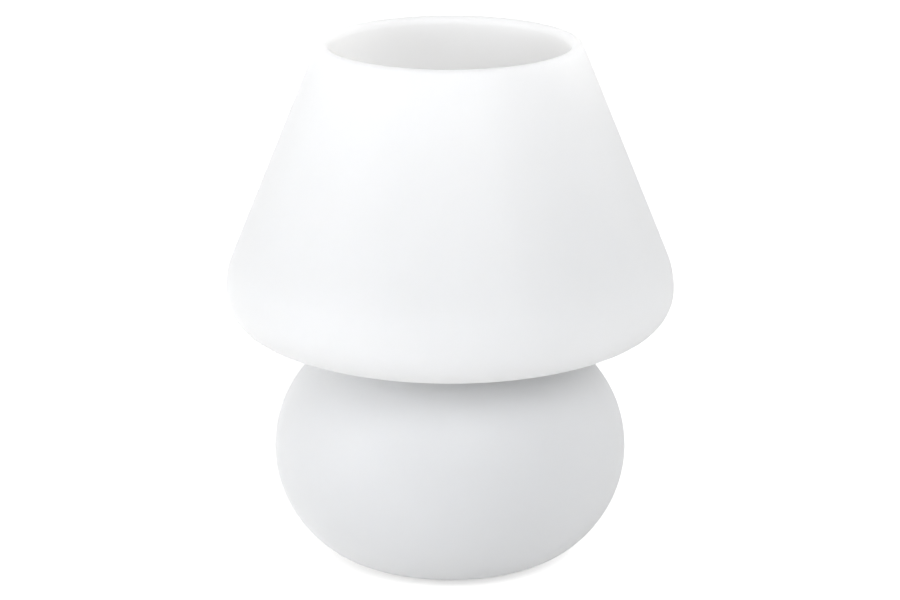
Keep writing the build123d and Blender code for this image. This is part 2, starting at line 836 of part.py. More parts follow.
hub_z = filament_top_z + hub_rise
with BuildPart() as filament_wires:
    for turn in filament_turns:
        across = Vector(cos(radians(turn)), sin(radians(turn)), 0)
        stem_side = across * (stem_rod_radius + wire_radius) + Vector(0, 0, stem_top_z - hub_rise)
        foot = across * filament_foot_radius + Vector(0, 0, filament_foot_z - wire_gap)
        plane, length = strut(stem_side, foot)
        with BuildSketch(plane):
            Circle(wire_radius)
        extrude(amount=length)
        top = across * filament_top_radius + Vector(0, 0, filament_top_z + wire_gap)
        plane, length = strut(top, Vector(0, 0, hub_z))
        with BuildSketch(plane):
            Circle(wire_radius)
        extrude(amount=length)
    with Locations((0, 0, hub_z)):
        Sphere(hub_radius)
keep(filament_wires, "filament_wires")

board_width = 2 * (cap_radius - cap_wall - board_margin)
board_z = thread_z + board_margin
board_height = flare_z - board_margin - board_z
with BuildPart() as driver_board:
    with BuildSketch(Plane.XY.offset(board_z)):
        Rectangle(board_width - board_thickness, board_thickness)
    extrude(amount=board_height)
    with BuildSketch(Plane.XZ.offset(board_thickness / 2)):
        with Locations((0, board_z + board_height / 2)):
            with GridLocations(chip_pitch, chip_pitch, 1, 2):
                Rectangle(chip_size, chip_size)
    extrude(amount=chip_height)
keep(driver_board, "driver_board")
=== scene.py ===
"""Mushroom table lamp in one piece of satin opal glass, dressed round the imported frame.

The glass stands on a soft ring and is clamped at its foot between two plates. A bracket on the
upper plate carries a screw lampholder with a sprung centre contact, and a clear round bulb with
four filaments is screwed into it. Sizes are in millimetres until a mesh is finished.
"""

from __future__ import annotations

import logging
import math
from dataclasses import dataclass, field
from enum import Enum

import bmesh
import bpy
from mathutils import Matrix, Vector

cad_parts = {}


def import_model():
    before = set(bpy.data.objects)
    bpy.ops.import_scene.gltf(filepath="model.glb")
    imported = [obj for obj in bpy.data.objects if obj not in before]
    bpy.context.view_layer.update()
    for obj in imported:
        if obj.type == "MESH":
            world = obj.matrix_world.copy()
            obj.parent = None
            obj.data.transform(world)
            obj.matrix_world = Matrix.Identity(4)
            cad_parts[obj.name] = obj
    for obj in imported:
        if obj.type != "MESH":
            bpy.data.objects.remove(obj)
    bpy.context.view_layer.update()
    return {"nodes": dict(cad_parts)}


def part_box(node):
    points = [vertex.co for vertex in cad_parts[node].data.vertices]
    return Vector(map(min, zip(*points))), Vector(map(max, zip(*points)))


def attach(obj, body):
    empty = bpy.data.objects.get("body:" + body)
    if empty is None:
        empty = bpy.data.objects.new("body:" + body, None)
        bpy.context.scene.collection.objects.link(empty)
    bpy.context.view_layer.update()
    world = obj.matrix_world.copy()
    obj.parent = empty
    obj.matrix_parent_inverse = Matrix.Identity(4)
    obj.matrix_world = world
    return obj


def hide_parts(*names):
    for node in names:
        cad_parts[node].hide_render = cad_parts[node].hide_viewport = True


LOG = logging.getLogger("lamp")
MM = 0.001
WELD = 1e-4
FULL_TURN = 2 * math.pi
SHARP_EDGE = math.radians(30)
NUT_SHARP = 25
ROLLED_SHARP = 60


class Body(Enum):
    """The rigid bodies of the frame."""

    LAMP = "lamp"
    CONTACT = "centre_contact"
    BULB = "bulb"


class Grain(Enum):
    """Ways that a worked surface is marked."""

    TURNED = "turned"
    ROLLED = "rolled"


# ------------------------------------------------------------------ meshes


class Outline:
    """A line drawn in the plane of radius (X) and height (Z), and then spun round the axis."""

    def __init__(self, radius: float, height: float) -> None:
        """Put the pen down.

        Args:
            radius: Distance from the axis.
            height: Height above the floor.
        """
        self.mesh = bmesh.new()
        self.tip = bmesh.ops.create_vert(self.mesh, co=(radius, 0, height))["vert"][0]
        self.first = self.tip

    def line(self, *corners: tuple[float, float]) -> Outline:
        """Draw straight runs.

        Args:
            corners: Radius and height of the end of each run.

        Returns:
            This outline, so that runs and arcs can follow each other.
        """
        for radius, height in corners:
            made = bmesh.ops.extrude_vert_indiv(self.mesh, verts=[self.tip])
            self.tip = made["verts"][0]
            step = Vector((radius, 0, height)) - self.tip.co
            bmesh.ops.translate(self.mesh, verts=[self.tip], vec=step)
        return self

    def arc(self, centre: tuple[float, float], turn: float, steps: int) -> Outline:
        """Draw an arc from the pen's place.

        Args:
            centre: Radius and height of the arc's centre.
            turn: Angle in degrees, positive from +X towards +Z.
            steps: Number of chords.

        Returns:
            This outline.
        """
        made = bmesh.ops.spin(
            self.mesh, geom=[self.tip], cent=(centre[0], 0, centre[1]), axis=(0, -1, 0),
            angle=math.radians(turn), steps=steps,
        )
        self.tip = [part for part in made["geom_last"] if isinstance(part, bmesh.types.BMVert)][0]
        return self

    def rows(self, radius: float, height: float, step: float) -> Outline:
        """Draw a straight run in short steps.

        Args:
            radius: Distance from the axis at the end of the run.
            height: Height of the end of the run.
            step: Longest step.

        Returns:
            This outline.
        """
        start = Vector((self.tip.co.x, self.tip.co.z))
        run = Vector((radius, height)) - start
        count = max(1, math.ceil(run.length / step))
        return self.line(*(tuple(start + run * (index + 1) / count) for index in range(count)))

    def path(self, *corners: tuple[float, ...], chords: int = 4) -> Outline:
        """Draw straight runs with rounded corners.

        Args:
            corners: Radius and height of each corner, and the radius of its bend if it is round.
                The run after the last corner leads back to the start.
            chords: Number of chords in a bend.

        Returns:
            This outline.
        """
        places = [Vector(corner[:2]) for corner in corners]
        nexts = [*places[1:], Vector((self.first.co.x, self.first.co.z))]
        for corner, place, after in zip(corners, places, nexts):
            if len(corner) < 3:
                self.line(tuple(place))
                continue
            into = (place - Vector((self.tip.co.x, self.tip.co.z))).normalized()
            out = (after - place).normalized()
            turn = math.atan2(into.x * out.y - into.y * out.x, into.dot(out))
            start = place - into * corner[2] * math.tan(abs(turn) / 2)
            self.line(tuple(start))
            centre = start + Vector((-into.y, into.x)) * math.copysign(corner[2], turn)
            self.arc(tuple(centre), math.degrees(turn), chords)
        return self

    def hop(self, radius: float, height: float) -> Outline:
        """Lift the pen and put it down at another place.

        Args:
            radius: Distance of that place from the axis.
            height: Height of that place.

        Returns:
            This outline.
        """
        self.tip = bmesh.ops.create_vert(self.mesh, co=(radius, 0, height))["vert"][0]
        return self

    def close(self) -> Outline:
        """Join the pen's place to the start with a straight run, and return this outline."""
        bmesh.ops.contextual_create(self.mesh, geom=[self.tip, self.first])
        return self

    def spun(self, steps: int) -> bmesh.types.BMesh:
        """Spin the line a full turn round the axis.

        Args:
            steps: Number of steps in the turn.

        Returns:
            The closed surface, with its faces pointing outwards.
        """
        line = self.mesh.verts[:] + self.mesh.edges[:]
        bmesh.ops.spin(
            self.mesh, geom=line, cent=(0, 0, 0), axis=(0, 0, 1), angle=FULL_TURN,
            steps=steps, use_merge=True,
        )
        bmesh.ops.remove_doubles(self.mesh, verts=self.mesh.verts, dist=WELD)
        bmesh.ops.recalc_face_normals(self.mesh, faces=self.mesh.faces)
        return self.mesh


def spoke(length: float, angle: float) -> Vector:
    """Step in the plane of radius and height.

    Args:
        length: Length of the step.
        angle: Angle in degrees from +X towards +Z.

    Returns:
        The step as a vector of two numbers.
    """
    return Vector((length * math.cos(math.radians(angle)), length * math.sin(math.radians(angle))))


def finished(
    mesh: bmesh.types.BMesh, name: str, body: Body, finish: Finish, *nodes: str, sharp: float = 35
) -> bpy.types.Object:
    """Turn a mesh in millimetres into a piece of the lamp.

    Args:
        mesh: The mesh, which is used up.
        name: Name of the new piece.
        body: Body that the piece moves with.
        finish: Finish of its surface.
        nodes: Nodes of the frame that it stands for.
        sharp: Angle in degrees past which an edge stays sharp.

    Returns:
        The new object.
    """
    bmesh.ops.scale(mesh, vec=(MM, MM, MM), verts=mesh.verts)
    for face in mesh.faces:
        face.smooth = True
    for edge in mesh.edges:
        edge.smooth = edge.calc_face_angle(0) < math.radians(sharp)
    data = bpy.data.meshes.new(name)
    mesh.to_mesh(data)
    mesh.free()
    data.materials.append(finish.material())
    piece = bpy.data.objects.new(name, data)
    bpy.context.scene.collection.objects.link(piece)
    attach(piece, body.value)
    if nodes:
        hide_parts(*nodes)
    LOG.info("%s rides on %s, %d faces", name, body.value, len(data.polygons))
    return piece


def heights(node: str) -> tuple[float, float]:
    """Look up how high a node of the frame reaches.

    Args:
        node: Name of the node.

    Returns:
        Its lowest and highest point, in millimetres.
    """
    low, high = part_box(node)
    return low[2] / MM, high[2] / MM


def loose(mesh: bmesh.types.BMesh) -> bpy.types.Object:
    """Put a mesh into an object for a while.

    Args:
        mesh: The mesh, which is used up.

    Returns:
        The object, which taken() removes again.
    """
    data = bpy.data.meshes.new("loose")
    mesh.to_mesh(data)
    mesh.free()
    made = bpy.data.objects.new("loose", data)
    bpy.context.scene.collection.objects.link(made)
    return made


def taken(source: bpy.types.Object, *others: bpy.types.Object) -> bmesh.types.BMesh:
    """Read an object's final mesh, and remove the object.

    Args:
        source: Object to read.
        others: More objects to remove.

    Returns:
        The mesh with its modifiers applied.
    """
    bpy.context.view_layer.update()
    seen = source.evaluated_get(bpy.context.evaluated_depsgraph_get())
    mesh = bmesh.new()
    mesh.from_mesh(seen.to_mesh())
    seen.to_mesh_clear()
    for used in (source, *others):
        bpy.data.objects.remove(used)
    return mesh


def carved(stock: bmesh.types.BMesh, *tools: bmesh.types.BMesh) -> bmesh.types.BMesh:
    """Cut closed tools out of a closed mesh.

    Args:
        stock: Mesh to cut, which is used up.
        tools: Meshes of what is cut away, which are used up.

    Returns:
        What is left.
    """
    workpiece = loose(stock)
    cutters = [loose(tool) for tool in tools]
    for cutter in cutters:
        cut = workpiece.modifiers.new("cut", "BOOLEAN")
        cut.object, cut.operation, cut.solver = cutter, "DIFFERENCE", "EXACT"
    left = taken(workpiece, *cutters)
    bmesh.ops.remove_doubles(left, verts=left.verts, dist=WELD)
    return left


def joined(*parts: bmesh.types.BMesh) -> bmesh.types.BMesh:
    """Put several meshes into one.

    Args:
        parts: The meshes, which are used up.

    Returns:
        A mesh that holds them all.
    """
    whole = bmesh.new()
    for part in parts:
        data = bpy.data.meshes.new("part")
        part.to_mesh(data)
        part.free()
        whole.from_mesh(data)
        bpy.data.meshes.remove(data)
    return whole


def moved(mesh: bmesh.types.BMesh, matrix: Matrix) -> bmesh.types.BMesh:
    """Turn and shift a mesh by a matrix, and return it."""
    bmesh.ops.transform(mesh, matrix=matrix, verts=mesh.verts)
    return mesh


def shifted(mesh: bmesh.types.BMesh, *step: float) -> bmesh.types.BMesh:
    """Shift a mesh along X, Y and Z, and return it."""
    return moved(mesh, Matrix.Translation(step))


def block(size: tuple[float, float, float], middle: tuple[float, float, float]) -> bmesh.types.BMesh:
    """Make a plain box to cut with or to round off.

    Args:
        size: Lengths along X, Y and Z.
        middle: Its centre.

    Returns:
        The box.
    """
    mesh = bmesh.new()
    bmesh.ops.create_cube(mesh, size=1, matrix=Matrix.Translation(middle) @ Matrix.Diagonal((*size, 1)))
    return mesh


def bevelled(mesh: bmesh.types.BMesh, width: float) -> bmesh.types.BMesh:
    """Round every sharp edge of a mesh.

    Args:
        mesh: The mesh.
        width: Width of the rounding.

    Returns:
        The same mesh.
    """
    edges = [edge for edge in mesh.edges if edge.calc_face_angle(0) > SHARP_EDGE]
    bmesh.ops.bevel(
        mesh, geom=edges, offset=width, offset_type="OFFSET", segments=2, profile=0.5,
        affect="EDGES", material=-1,
    )
    return mesh


def rod(radius: float, low: float, high: float, segments: int = 48) -> bmesh.types.BMesh:
    """Make a round bar on the axis.

    Args:
        radius: Its radius.
        low: Height of its lower end.
        high: Height of its upper end.
        segments: Number of its sides.

    Returns:
        The bar.
    """
    mesh = bmesh.new()
    bmesh.ops.create_cone(
        mesh, cap_ends=True, segments=segments, radius1=radius, radius2=radius, depth=high - low,
    )
    return shifted(mesh, 0, 0, (low + high) / 2)


def ring(radius: float, reach: float, height: float, segments: int = 12) -> bmesh.types.BMesh:
    """Make a circle that stands off the axis, as the section of a wire.

    Args:
        radius: Radius of the circle.
        reach: Distance of its centre from the axis.
        height: Height of its centre.
        segments: Number of its sides.

    Returns:
        The closed line.
    """
    mesh = bmesh.new()
    upright = Matrix.Translation((reach, 0, height)) @ Matrix.Rotation(math.pi / 2, 4, "X")
    bmesh.ops.create_circle(mesh, cap_ends=False, radius=radius, segments=segments, matrix=upright)
    return mesh


def swept(
    section: bmesh.types.BMesh, *runs: tuple[float, float], per_turn: int = 32
) -> bmesh.types.BMesh:
    """Sweep a closed line round the axis in helical runs, and cap both ends.

    Args:
        section: The line, which is used up.
        runs: Turns and rise of each run.
        per_turn: Steps in a turn.

    Returns:
        The closed mesh.
    """
    first = section.edges[:]
    last = section.verts[:] + first
    for turns, rise in runs:
        steps = max(1, round(turns * per_turn))
        made = bmesh.ops.spin(
            section, geom=last, cent=(0, 0, 0), axis=(0, 0, 1), dvec=(0, 0, rise / steps),
            angle=turns * FULL_TURN, steps=steps,
        )
        last = made["geom_last"]
    ends = (first, [part for part in last if isinstance(part, bmesh.types.BMEdge)])
    for loop in ends:
        bmesh.ops.contextual_create(section, geom=loop)
    bmesh.ops.recalc_face_normals(section, faces=section.faces)
    return section


def bent(radius: float, *places: tuple[float, float, float]) -> bmesh.types.BMesh:
    """Bend a round wire along a smooth line.

    Args:
        radius: Radius of the wire.
        places: Control points of the line, from end to end.

    Returns:
        The closed mesh.
    """
    curve = bpy.data.curves.new("wire", "CURVE")
    curve.dimensions = "3D"
    curve.bevel_depth, curve.bevel_resolution, curve.use_fill_caps = radius, 3, True
    curve.resolution_u = 10
    line = curve.splines.new("NURBS")
    line.points.add(len(places) - 1)
    for knot, place in zip(line.points, places):
        knot.co = (*place, 1)
    line.order_u, line.use_endpoint_u = 3, True
    wire = bpy.data.objects.new("wire", curve)
    bpy.context.scene.collection.objects.link(wire)
    mesh = taken(wire)
    bmesh.ops.remove_doubles(mesh, verts=mesh.verts, dist=WELD)
    bmesh.ops.recalc_face_normals(mesh, faces=mesh.faces)
    return mesh


@dataclass(frozen=True)
class Thread:
    """A right-hand screw thread, rolled round from sheet or cut to a V."""

    crest: float
    depth: float
    pitch: float
    rolled: bool = False
    steps: int = 9
    flank: float = 1.3
    flat: float = 0.15
    runout: float = 0.6
    face_share: float = 0.96
    head_edge: float = 0.25

    def share(self, place: Vector) -> float:
        """Work out how high the thread stands at a place.

        Args:
            place: The place.

        Returns:
            A number from 0 at the root to 1 at the crest.
        """
        turn = (place.z / self.pitch - math.atan2(place.y, place.x) / FULL_TURN) % 1
        if self.rolled:
            return 0.5 + 0.5 * math.cos(turn * FULL_TURN)
        return min(max(self.flank * abs(2 * turn - 1) - self.flat, 0), 1)

    def press(
        self, mesh: bmesh.types.BMesh, low: float, high: float, walls: tuple[float, float],
        female: bool = False,
    ) -> None:
        """Press the thread into the rows of a spun mesh.

        Args:
            mesh: The mesh.
            low: Height where the thread starts.
            high: Height where it ends.
            walls: Radii between which points move.
            female: Whether it is the thread of a nut, which fades out at its crest.
        """
        runout = self.pitch * self.runout
        for vert in mesh.verts:
            radius, height = vert.co.xy.length, vert.co.z
            if not (low - WELD < height < high + WELD and walls[0] < radius < walls[1]):
                continue
            fade = max(0, min(1, (height - low) / runout, (high - height) / runout))
            share = self.share(vert.co)
            sunk = (1 - share) * fade if female else 1 - share * fade
            vert.co.xy *= 1 - self.depth * sunk / radius

    def nut(self, low: float, high: float, flats: float, gap: float = 0.05) -> bmesh.types.BMesh:
        """Make a hexagon nut with bevelled corners and a threaded hole.

        Args:
            low: Height of its lower face.
            high: Height of its upper face.
            flats: Width across its flats.
            gap: Clearance between its thread and the screw's.

        Returns:
            The closed mesh, with a corner on the X axis.
        """
        inner, bevel = self.crest + gap, self.depth / 2
        corner, face = flats / 2 / math.cos(math.pi / 6), flats / 2 * self.face_share
        pen = Outline(inner + bevel, low)
        pen.line((face, low), (corner, low + bevel), (corner, high - bevel), (face, high))
        pen.line((inner + bevel, high), (inner, high - bevel))
        pen.rows(inner, low + bevel, self.pitch / self.steps).close()
        mesh = pen.spun(96)
        for vert in mesh.verts:
            radius = vert.co.xy.length
            if radius < corner - WELD:
                continue
            side = math.atan2(vert.co.y, vert.co.x) % (FULL_TURN / 6) - FULL_TURN / 12
            reach = flats / 2 / math.cos(side)
            rise = (reach - face) * math.tan(math.pi / 6)
            vert.co.xy *= reach / radius
            vert.co.z = low + rise if vert.co.z < (low + high) / 2 else high - rise
        self.press(mesh, low + bevel, high - bevel, (inner - bevel, inner + bevel / 2), female=True)
        return mesh

    def screw(
        self, low: float, high: float, slot: tuple[float, float, float],
        head: tuple[float, float, float] | None = None,
    ) -> bmesh.types.BMesh:
        """Make a slotted screw that stands on its slotted end.

        Args:
            low: Height of the thread's lower end, which is the head's bearing face.
            high: Height of its upper end.
            slot: Width and depth of the slot, and its angle in degrees.
            head: Radius, height and crown of the head, or None for a screw without a head.

        Returns:
            The closed mesh.
        """
        root = self.crest - self.depth
        foot = low
        if head:
            foot = low - head[1]
            pen = Outline(0, foot).path(
                (head[0], foot, head[2]), (head[0], low, self.head_edge), (self.crest, low),
                chords=6,
            )
            low += self.pitch / 2
        else:
            pen = Outline(0, foot).line((root, low), (self.crest, low + self.depth))
        pen.rows(self.crest, high - self.depth, self.pitch / self.steps)
        pen.line((root, high), (0, high))
        mesh = pen.spun(40)
        self.press(mesh, low, high, (root, self.crest + self.depth / 2))
        groove = block((self.crest * 6, slot[0], slot[1] * 2), (0, 0, foot))
        return carved(mesh, moved(groove, Matrix.Rotation(math.radians(slot[2]), 4, "Z")))


# ------------------------------------------------------------------ shader groups


def preset(node: bpy.types.Node, **values: float | tuple[float, ...]) -> bpy.types.Node:
    """Set numbers and colours on a node's own sockets.

    Args:
        node: The node.
        values: Its inputs, with an underscore for each space in a name.

    Returns:
        The same node.
    """
    for key, value in values.items():
        node.inputs[key.replace("_", " ")].default_value = value
    return node


class Wiring:
    """A node tree that nodes and wires are added to."""

    def __init__(self, tree: bpy.types.NodeTree) -> None:
        """Take up a tree."""
        self.tree = tree

    def node(self, kind: str, **settings: object) -> bpy.types.Node:
        """Add a node.

        Args:
            kind: Type without its ShaderNode prefix.
            settings: Attributes to set on it.

        Returns:
            The node.
        """
        made = self.tree.nodes.new(f"ShaderNode{kind}")
        for key, value in settings.items():
            setattr(made, key, value)
        return made

    def wire(self, start: bpy.types.NodeSocket, end: bpy.types.NodeSocket) -> None:
        """Join an output to an input."""
        self.tree.links.new(start, end)

    def sum_up(self, operation: str, *terms: bpy.types.NodeSocket) -> bpy.types.NodeSocket:
        """Work out a sum.

        Args:
            operation: Operation of the Math node.
            terms: Outputs that it is worked out from.

        Returns:
            Output that holds the result.
        """
        made = self.node("Math", operation=operation)
        for place, term in enumerate(terms):
            self.wire(term, made.inputs[place])
        return made.outputs[0]


class GroupWiring(Wiring):
    """A new shader node group, with its named inputs and outputs."""

    def __init__(self, name: str) -> None:
        """Start an empty group.

        Args:
            name: Name of the group.
        """
        super().__init__(bpy.data.node_groups.new(name, "ShaderNodeTree"))
        self.taken = self.tree.nodes.new("NodeGroupInput").outputs
        self.given = self.tree.nodes.new("NodeGroupOutput").inputs

    def take(self, name: str, kind: str, default: float | None = None) -> None:
        """Add an input.

        Args:
            name: Name of the socket.
            kind: Short name of its type, Float, Vector or Color.
            default: Value where nothing is linked.
        """
        made = self.tree.interface.new_socket(name, in_out="INPUT", socket_type=f"NodeSocket{kind}")
        if default is not None:
            made.default_value = default

    def give(self, name: str) -> None:
        """Add an output that holds a number."""
        self.tree.interface.new_socket(name, in_out="OUTPUT", socket_type="NodeSocketFloat")


@dataclass(frozen=True)
class SurfaceEffect:
    """An effect that several materials use, built once as a shader node group."""

    name: str

    def group(self) -> bpy.types.ShaderNodeTree:
        """Build the group if it isn't there yet.

        Returns:
            The group.
        """
        if self.name in bpy.data.node_groups:
            return bpy.data.node_groups[self.name]
        wiring = GroupWiring(self.name)
        wiring.take("Vector", "Vector")
        self.fill(wiring)
        return wiring.tree

    def fill(self, wiring: GroupWiring) -> None:
        """Fill in the group.

        Args:
            wiring: The group, which already takes a Vector.
        """
        raise NotImplementedError


@dataclass(frozen=True)
class Grained(SurfaceEffect):
    """Fine grain of a surface: pits and a slow drift between shinier and duller patches."""

    name: str = "surface_grain"

    def fill(self, wiring: GroupWiring) -> None:
        """Fill in the group with two noises of their own scales.

        Args:
            wiring: The group.
        """
        wiring.take("Fine Scale", "Float", 4000.0)
        wiring.take("Drift Scale", "Float", 25.0)
        wiring.give("Height")
        wiring.give("Drift")
        fine = preset(wiring.node("TexNoise"), Detail=3.0, Roughness=0.6)
        drift = preset(wiring.node("TexNoise"), Detail=4.0)
        for texture, scale, result in (
            (fine, "Fine Scale", "Height"), (drift, "Drift Scale", "Drift"),
        ):
            wiring.wire(wiring.taken["Vector"], texture.inputs["Vector"])
            wiring.wire(wiring.taken[scale], texture.inputs["Scale"])
            wiring.wire(texture.outputs["Fac"], wiring.given[result])


@dataclass(frozen=True)
class ToolMarks(SurfaceEffect):
    """Marks of the tool on metal: rings round the axis, with a broken streak among them."""

    name: str = "tool_marks"

    def fill(self, wiring: GroupWiring) -> None:
        """Fill in the group with noise on the radius and height, and noise on stretched space.

        Args:
            wiring: The group.
        """
        wiring.take("Stretch", "Vector")
        wiring.take("Scale", "Float", 900.0)
        wiring.give("Height")
        wiring.give("Streak")
        place = wiring.node("SeparateXYZ")
        wiring.wire(wiring.taken["Vector"], place.inputs["Vector"])
        along, across = place.outputs["X"], place.outputs["Y"]
        squared = wiring.sum_up("MULTIPLY_ADD", across, across, wiring.sum_up("MULTIPLY", along, along))
        spun = wiring.node("CombineXYZ")
        wiring.wire(wiring.sum_up("SQRT", squared), spun.inputs["X"])
        wiring.wire(place.outputs["Z"], spun.inputs["Z"])
        stretched = wiring.node("VectorMath", operation="MULTIPLY")
        wiring.wire(wiring.taken["Vector"], stretched.inputs[0])
        wiring.wire(wiring.taken["Stretch"], stretched.inputs[1])
        for space, detail, result in ((spun, 2.0, "Height"), (stretched, 3.0, "Streak")):
            texture = preset(wiring.node("TexNoise"), Detail=detail)
            wiring.wire(space.outputs["Vector"], texture.inputs["Vector"])
            wiring.wire(wiring.taken["Scale"], texture.inputs["Scale"])
            wiring.wire(texture.outputs["Fac"], wiring.given[result])


@dataclass(frozen=True)
class SettledDust(SurfaceEffect):
    """Dust that settles on what faces up, thicker in some places than in others."""

    name: str = "settled_dust"

    def fill(self, wiring: GroupWiring) -> None:
        """Fill in the group with patches of noise, masked by how far a surface faces up.

        Args:
            wiring: The group.
        """
        wiring.take("Amount", "Float", 0.1)
        wiring.give("Mask")
        up = wiring.node("SeparateXYZ")
        wiring.wire(wiring.node("NewGeometry").outputs["Normal"], up.inputs["Vector"])
        patches = preset(wiring.node("TexNoise"), Scale=60.0, Detail=6.0)
        wiring.wire(wiring.taken["Vector"], patches.inputs["Vector"])
        level = preset(wiring.node("MapRange"), From_Min=0.35, From_Max=0.75)
        wiring.wire(patches.outputs["Fac"], level.inputs["Value"])
        rise = preset(wiring.node("MapRange"), From_Min=0.2)
        wiring.wire(up.outputs["Z"], rise.inputs["Value"])
        both = wiring.sum_up("MULTIPLY", level.outputs["Result"], rise.outputs["Result"])
        wiring.wire(wiring.sum_up("MULTIPLY", both, wiring.taken["Amount"]), wiring.given["Mask"])


# ------------------------------------------------------------------ finishes


class Shading(Wiring):
    """The node tree of one material, with its main shader and its object coordinates."""

    def __init__(self, name: str) -> None:
        """Start a material.

        Args:
            name: Name of the material.
        """
        self.material = bpy.data.materials.new(name)
        self.material.use_nodes = True
        super().__init__(self.material.node_tree)
        self.shader = self.tree.nodes["Principled BSDF"]
        self.place = self.node("TexCoord").outputs["Object"]

    def use(self, effect: SurfaceEffect, **values: float | tuple[float, ...]) -> bpy.types.Node:
        """Place an effect's group, fed with the object's coordinates.

        Args:
            effect: The effect.
            values: Its inputs, with an underscore for each space in a name.

        Returns:
            The group's node.
        """
        made = preset(self.node("Group", node_tree=effect.group()), **values)
        self.wire(self.place, made.inputs["Vector"])
        return made

    def spread(
        self, source: bpy.types.NodeSocket, low: float, high: float, target: str,
        start: float = 0.3, end: float = 0.7,
    ) -> None:
        """Drive a number of the shader from a pattern.

        Args:
            source: Output that holds the pattern.
            low: Number at the pattern's low end.
            high: Number at its high end.
            target: Input of the shader.
            start: Value of the pattern that counts as low.
            end: Value of the pattern that counts as high.
        """
        made = preset(self.node("MapRange"), From_Min=start, From_Max=end, To_Min=low, To_Max=high)
        self.wire(source, made.inputs["Value"])
        self.wire(made.outputs["Result"], self.shader.inputs[target])

    def patches(
        self, source: bpy.types.NodeSocket, start: float, end: float, most: float
    ) -> bpy.types.NodeSocket:
        """Turn a pattern into a mask of patches.

        Args:
            source: Output that holds the pattern.
            start: Value of the pattern where the patches start.
            end: Value where they are full.
            most: Value of the mask there.

        Returns:
            The mask.
        """
        made = preset(self.node("MapRange"), From_Min=start, From_Max=end, To_Max=most)
        self.wire(source, made.inputs["Value"])
        return made.outputs["Result"]

    def tint(
        self, mask: bpy.types.NodeSocket, first: tuple[float, ...], second: tuple[float, ...],
        under: bpy.types.NodeSocket | None = None,
    ) -> bpy.types.NodeSocket:
        """Mix two colours by a mask.

        Args:
            mask: Output that holds the mask.
            first: Colour where the mask is 0.
            second: Colour where the mask is 1.
            under: Colour output that takes the place of the first colour.

        Returns:
            The mixed colour.
        """
        made = preset(self.node("Mix", data_type="RGBA"), A=(*first, 1), B=(*second, 1))
        self.wire(mask, made.inputs["Factor"])
        if under is not None:
            self.wire(under, made.inputs["A"])
        return made.outputs["Result"]

    def raise_by(self, height: bpy.types.NodeSocket, depth: float, strength: float) -> None:
        """Turn a height pattern into bumps.

        Args:
            height: Output that holds the pattern.
            depth: Height of the bumps in metres.
            strength: Strength of the bumps.
        """
        bump = preset(self.node("Bump"), Distance=depth, Strength=strength)
        self.wire(height, bump.inputs["Height"])
        self.wire(bump.outputs["Normal"], self.shader.inputs["Normal"])


@dataclass(frozen=True)
class Finish:
    """What every finish has: a name, its slot in the record and its colour."""

    name: str
    slot: str
    colour: tuple[float, float, float]

    def material(self) -> bpy.types.Material:
        """Build the material if it isn't there yet.

        Returns:
            The material.
        """
        if self.name in bpy.data.materials:
            return bpy.data.materials[self.name]
        shading = Shading(self.name)
        self.shade(shading)
        return shading.material

    def shade(self, shading: Shading) -> None:
        """Fill in the node tree.

        Args:
            shading: The tree to fill.
        """
        raise NotImplementedError


@dataclass(frozen=True)
class DustySkin(Finish):
    """Hard pale skin: an even colour with a slow mottle, fine bumps and a trace of dust."""

    roughness: float = 0.45
    mottle: float = 0.94
    bump_strength: float = 0.35
    bump_depth: float = 0.00005
    fine_scale: float = 1100.0
    drift_scale: float = 50.0
    smoother: float = 0.06
    rougher: float = 0.08
    dust_amount: float = 0.12
    dust: tuple[float, float, float] = (0.70, 0.68, 0.65)

    def clouded(self) -> tuple[float, ...]:
        """Colour of the darker patches."""
        return tuple(channel * self.mottle for channel in self.colour)

    def shade(self, shading: Shading) -> None:
        """Fill in the tree: mottle and dust in the colour, duller patches and fine bumps.

        Args:
            shading: The tree to fill.
        """
        grain = shading.use(Grained(), Fine_Scale=self.fine_scale, Drift_Scale=self.drift_scale)
        dust = shading.use(SettledDust(), Amount=self.dust_amount)
        drift = grain.outputs["Drift"]
        even = shading.tint(drift, self.colour, self.clouded())
        skin = shading.tint(dust.outputs["Mask"], self.colour, self.dust, even)
        shading.wire(skin, shading.shader.inputs["Base Color"])
        low, high = self.roughness - self.smoother, self.roughness + self.rougher
        shading.spread(drift, low, high, "Roughness")
        shading.raise_by(grain.outputs["Height"], self.bump_depth, self.bump_strength)


@dataclass(frozen=True)
class OpalGlass(DustySkin):
    """Milk-white glass, etched to a satin skin, with clouds in the melt."""

    cloud: tuple[float, float, float] = (0.86, 0.86, 0.855)
    roughness: float = 0.55
    bump_strength: float = 0.25
    bump_depth: float = 0.00004
    fine_scale: float = 5200.0
    drift_scale: float = 14.0
    smoother: float = 0.05
    rougher: float = 0.06
    dust_amount: float = 0.10
    dust: tuple[float, float, float] = (0.80, 0.79, 0.77)
    light_depth: float = 0.04

    def clouded(self) -> tuple[float, ...]:
        """Colour of the clouds in the melt."""
        return self.cloud

    def shade(self, shading: Shading) -> None:
        """Fill in the tree: the dusty etched skin, over a depth of white glass.

        Args:
            shading: The tree to fill.
        """
        super().shade(shading)
        preset(
            shading.shader, Subsurface_Weight=1.0, Subsurface_Scale=self.light_depth,
            Subsurface_Radius=(1.0, 0.97, 0.92), IOR=1.5, Specular_IOR_Level=0.25,
        )


@dataclass(frozen=True)
class Moulding(DustySkin):
    """Moulded thermoset or ceramic: even, a little glossy, faintly mottled."""

    roughness: float = 0.32
    mottle: float = 0.93
    bump_strength: float = 0.2
    bump_depth: float = 0.00003
    fine_scale: float = 2400.0
    drift_scale: float = 90.0
    smoother: float = 0.05
    rougher: float = 0.1
    dust_amount: float = 0.15
    dust: tuple[float, float, float] = (0.66, 0.64, 0.60)


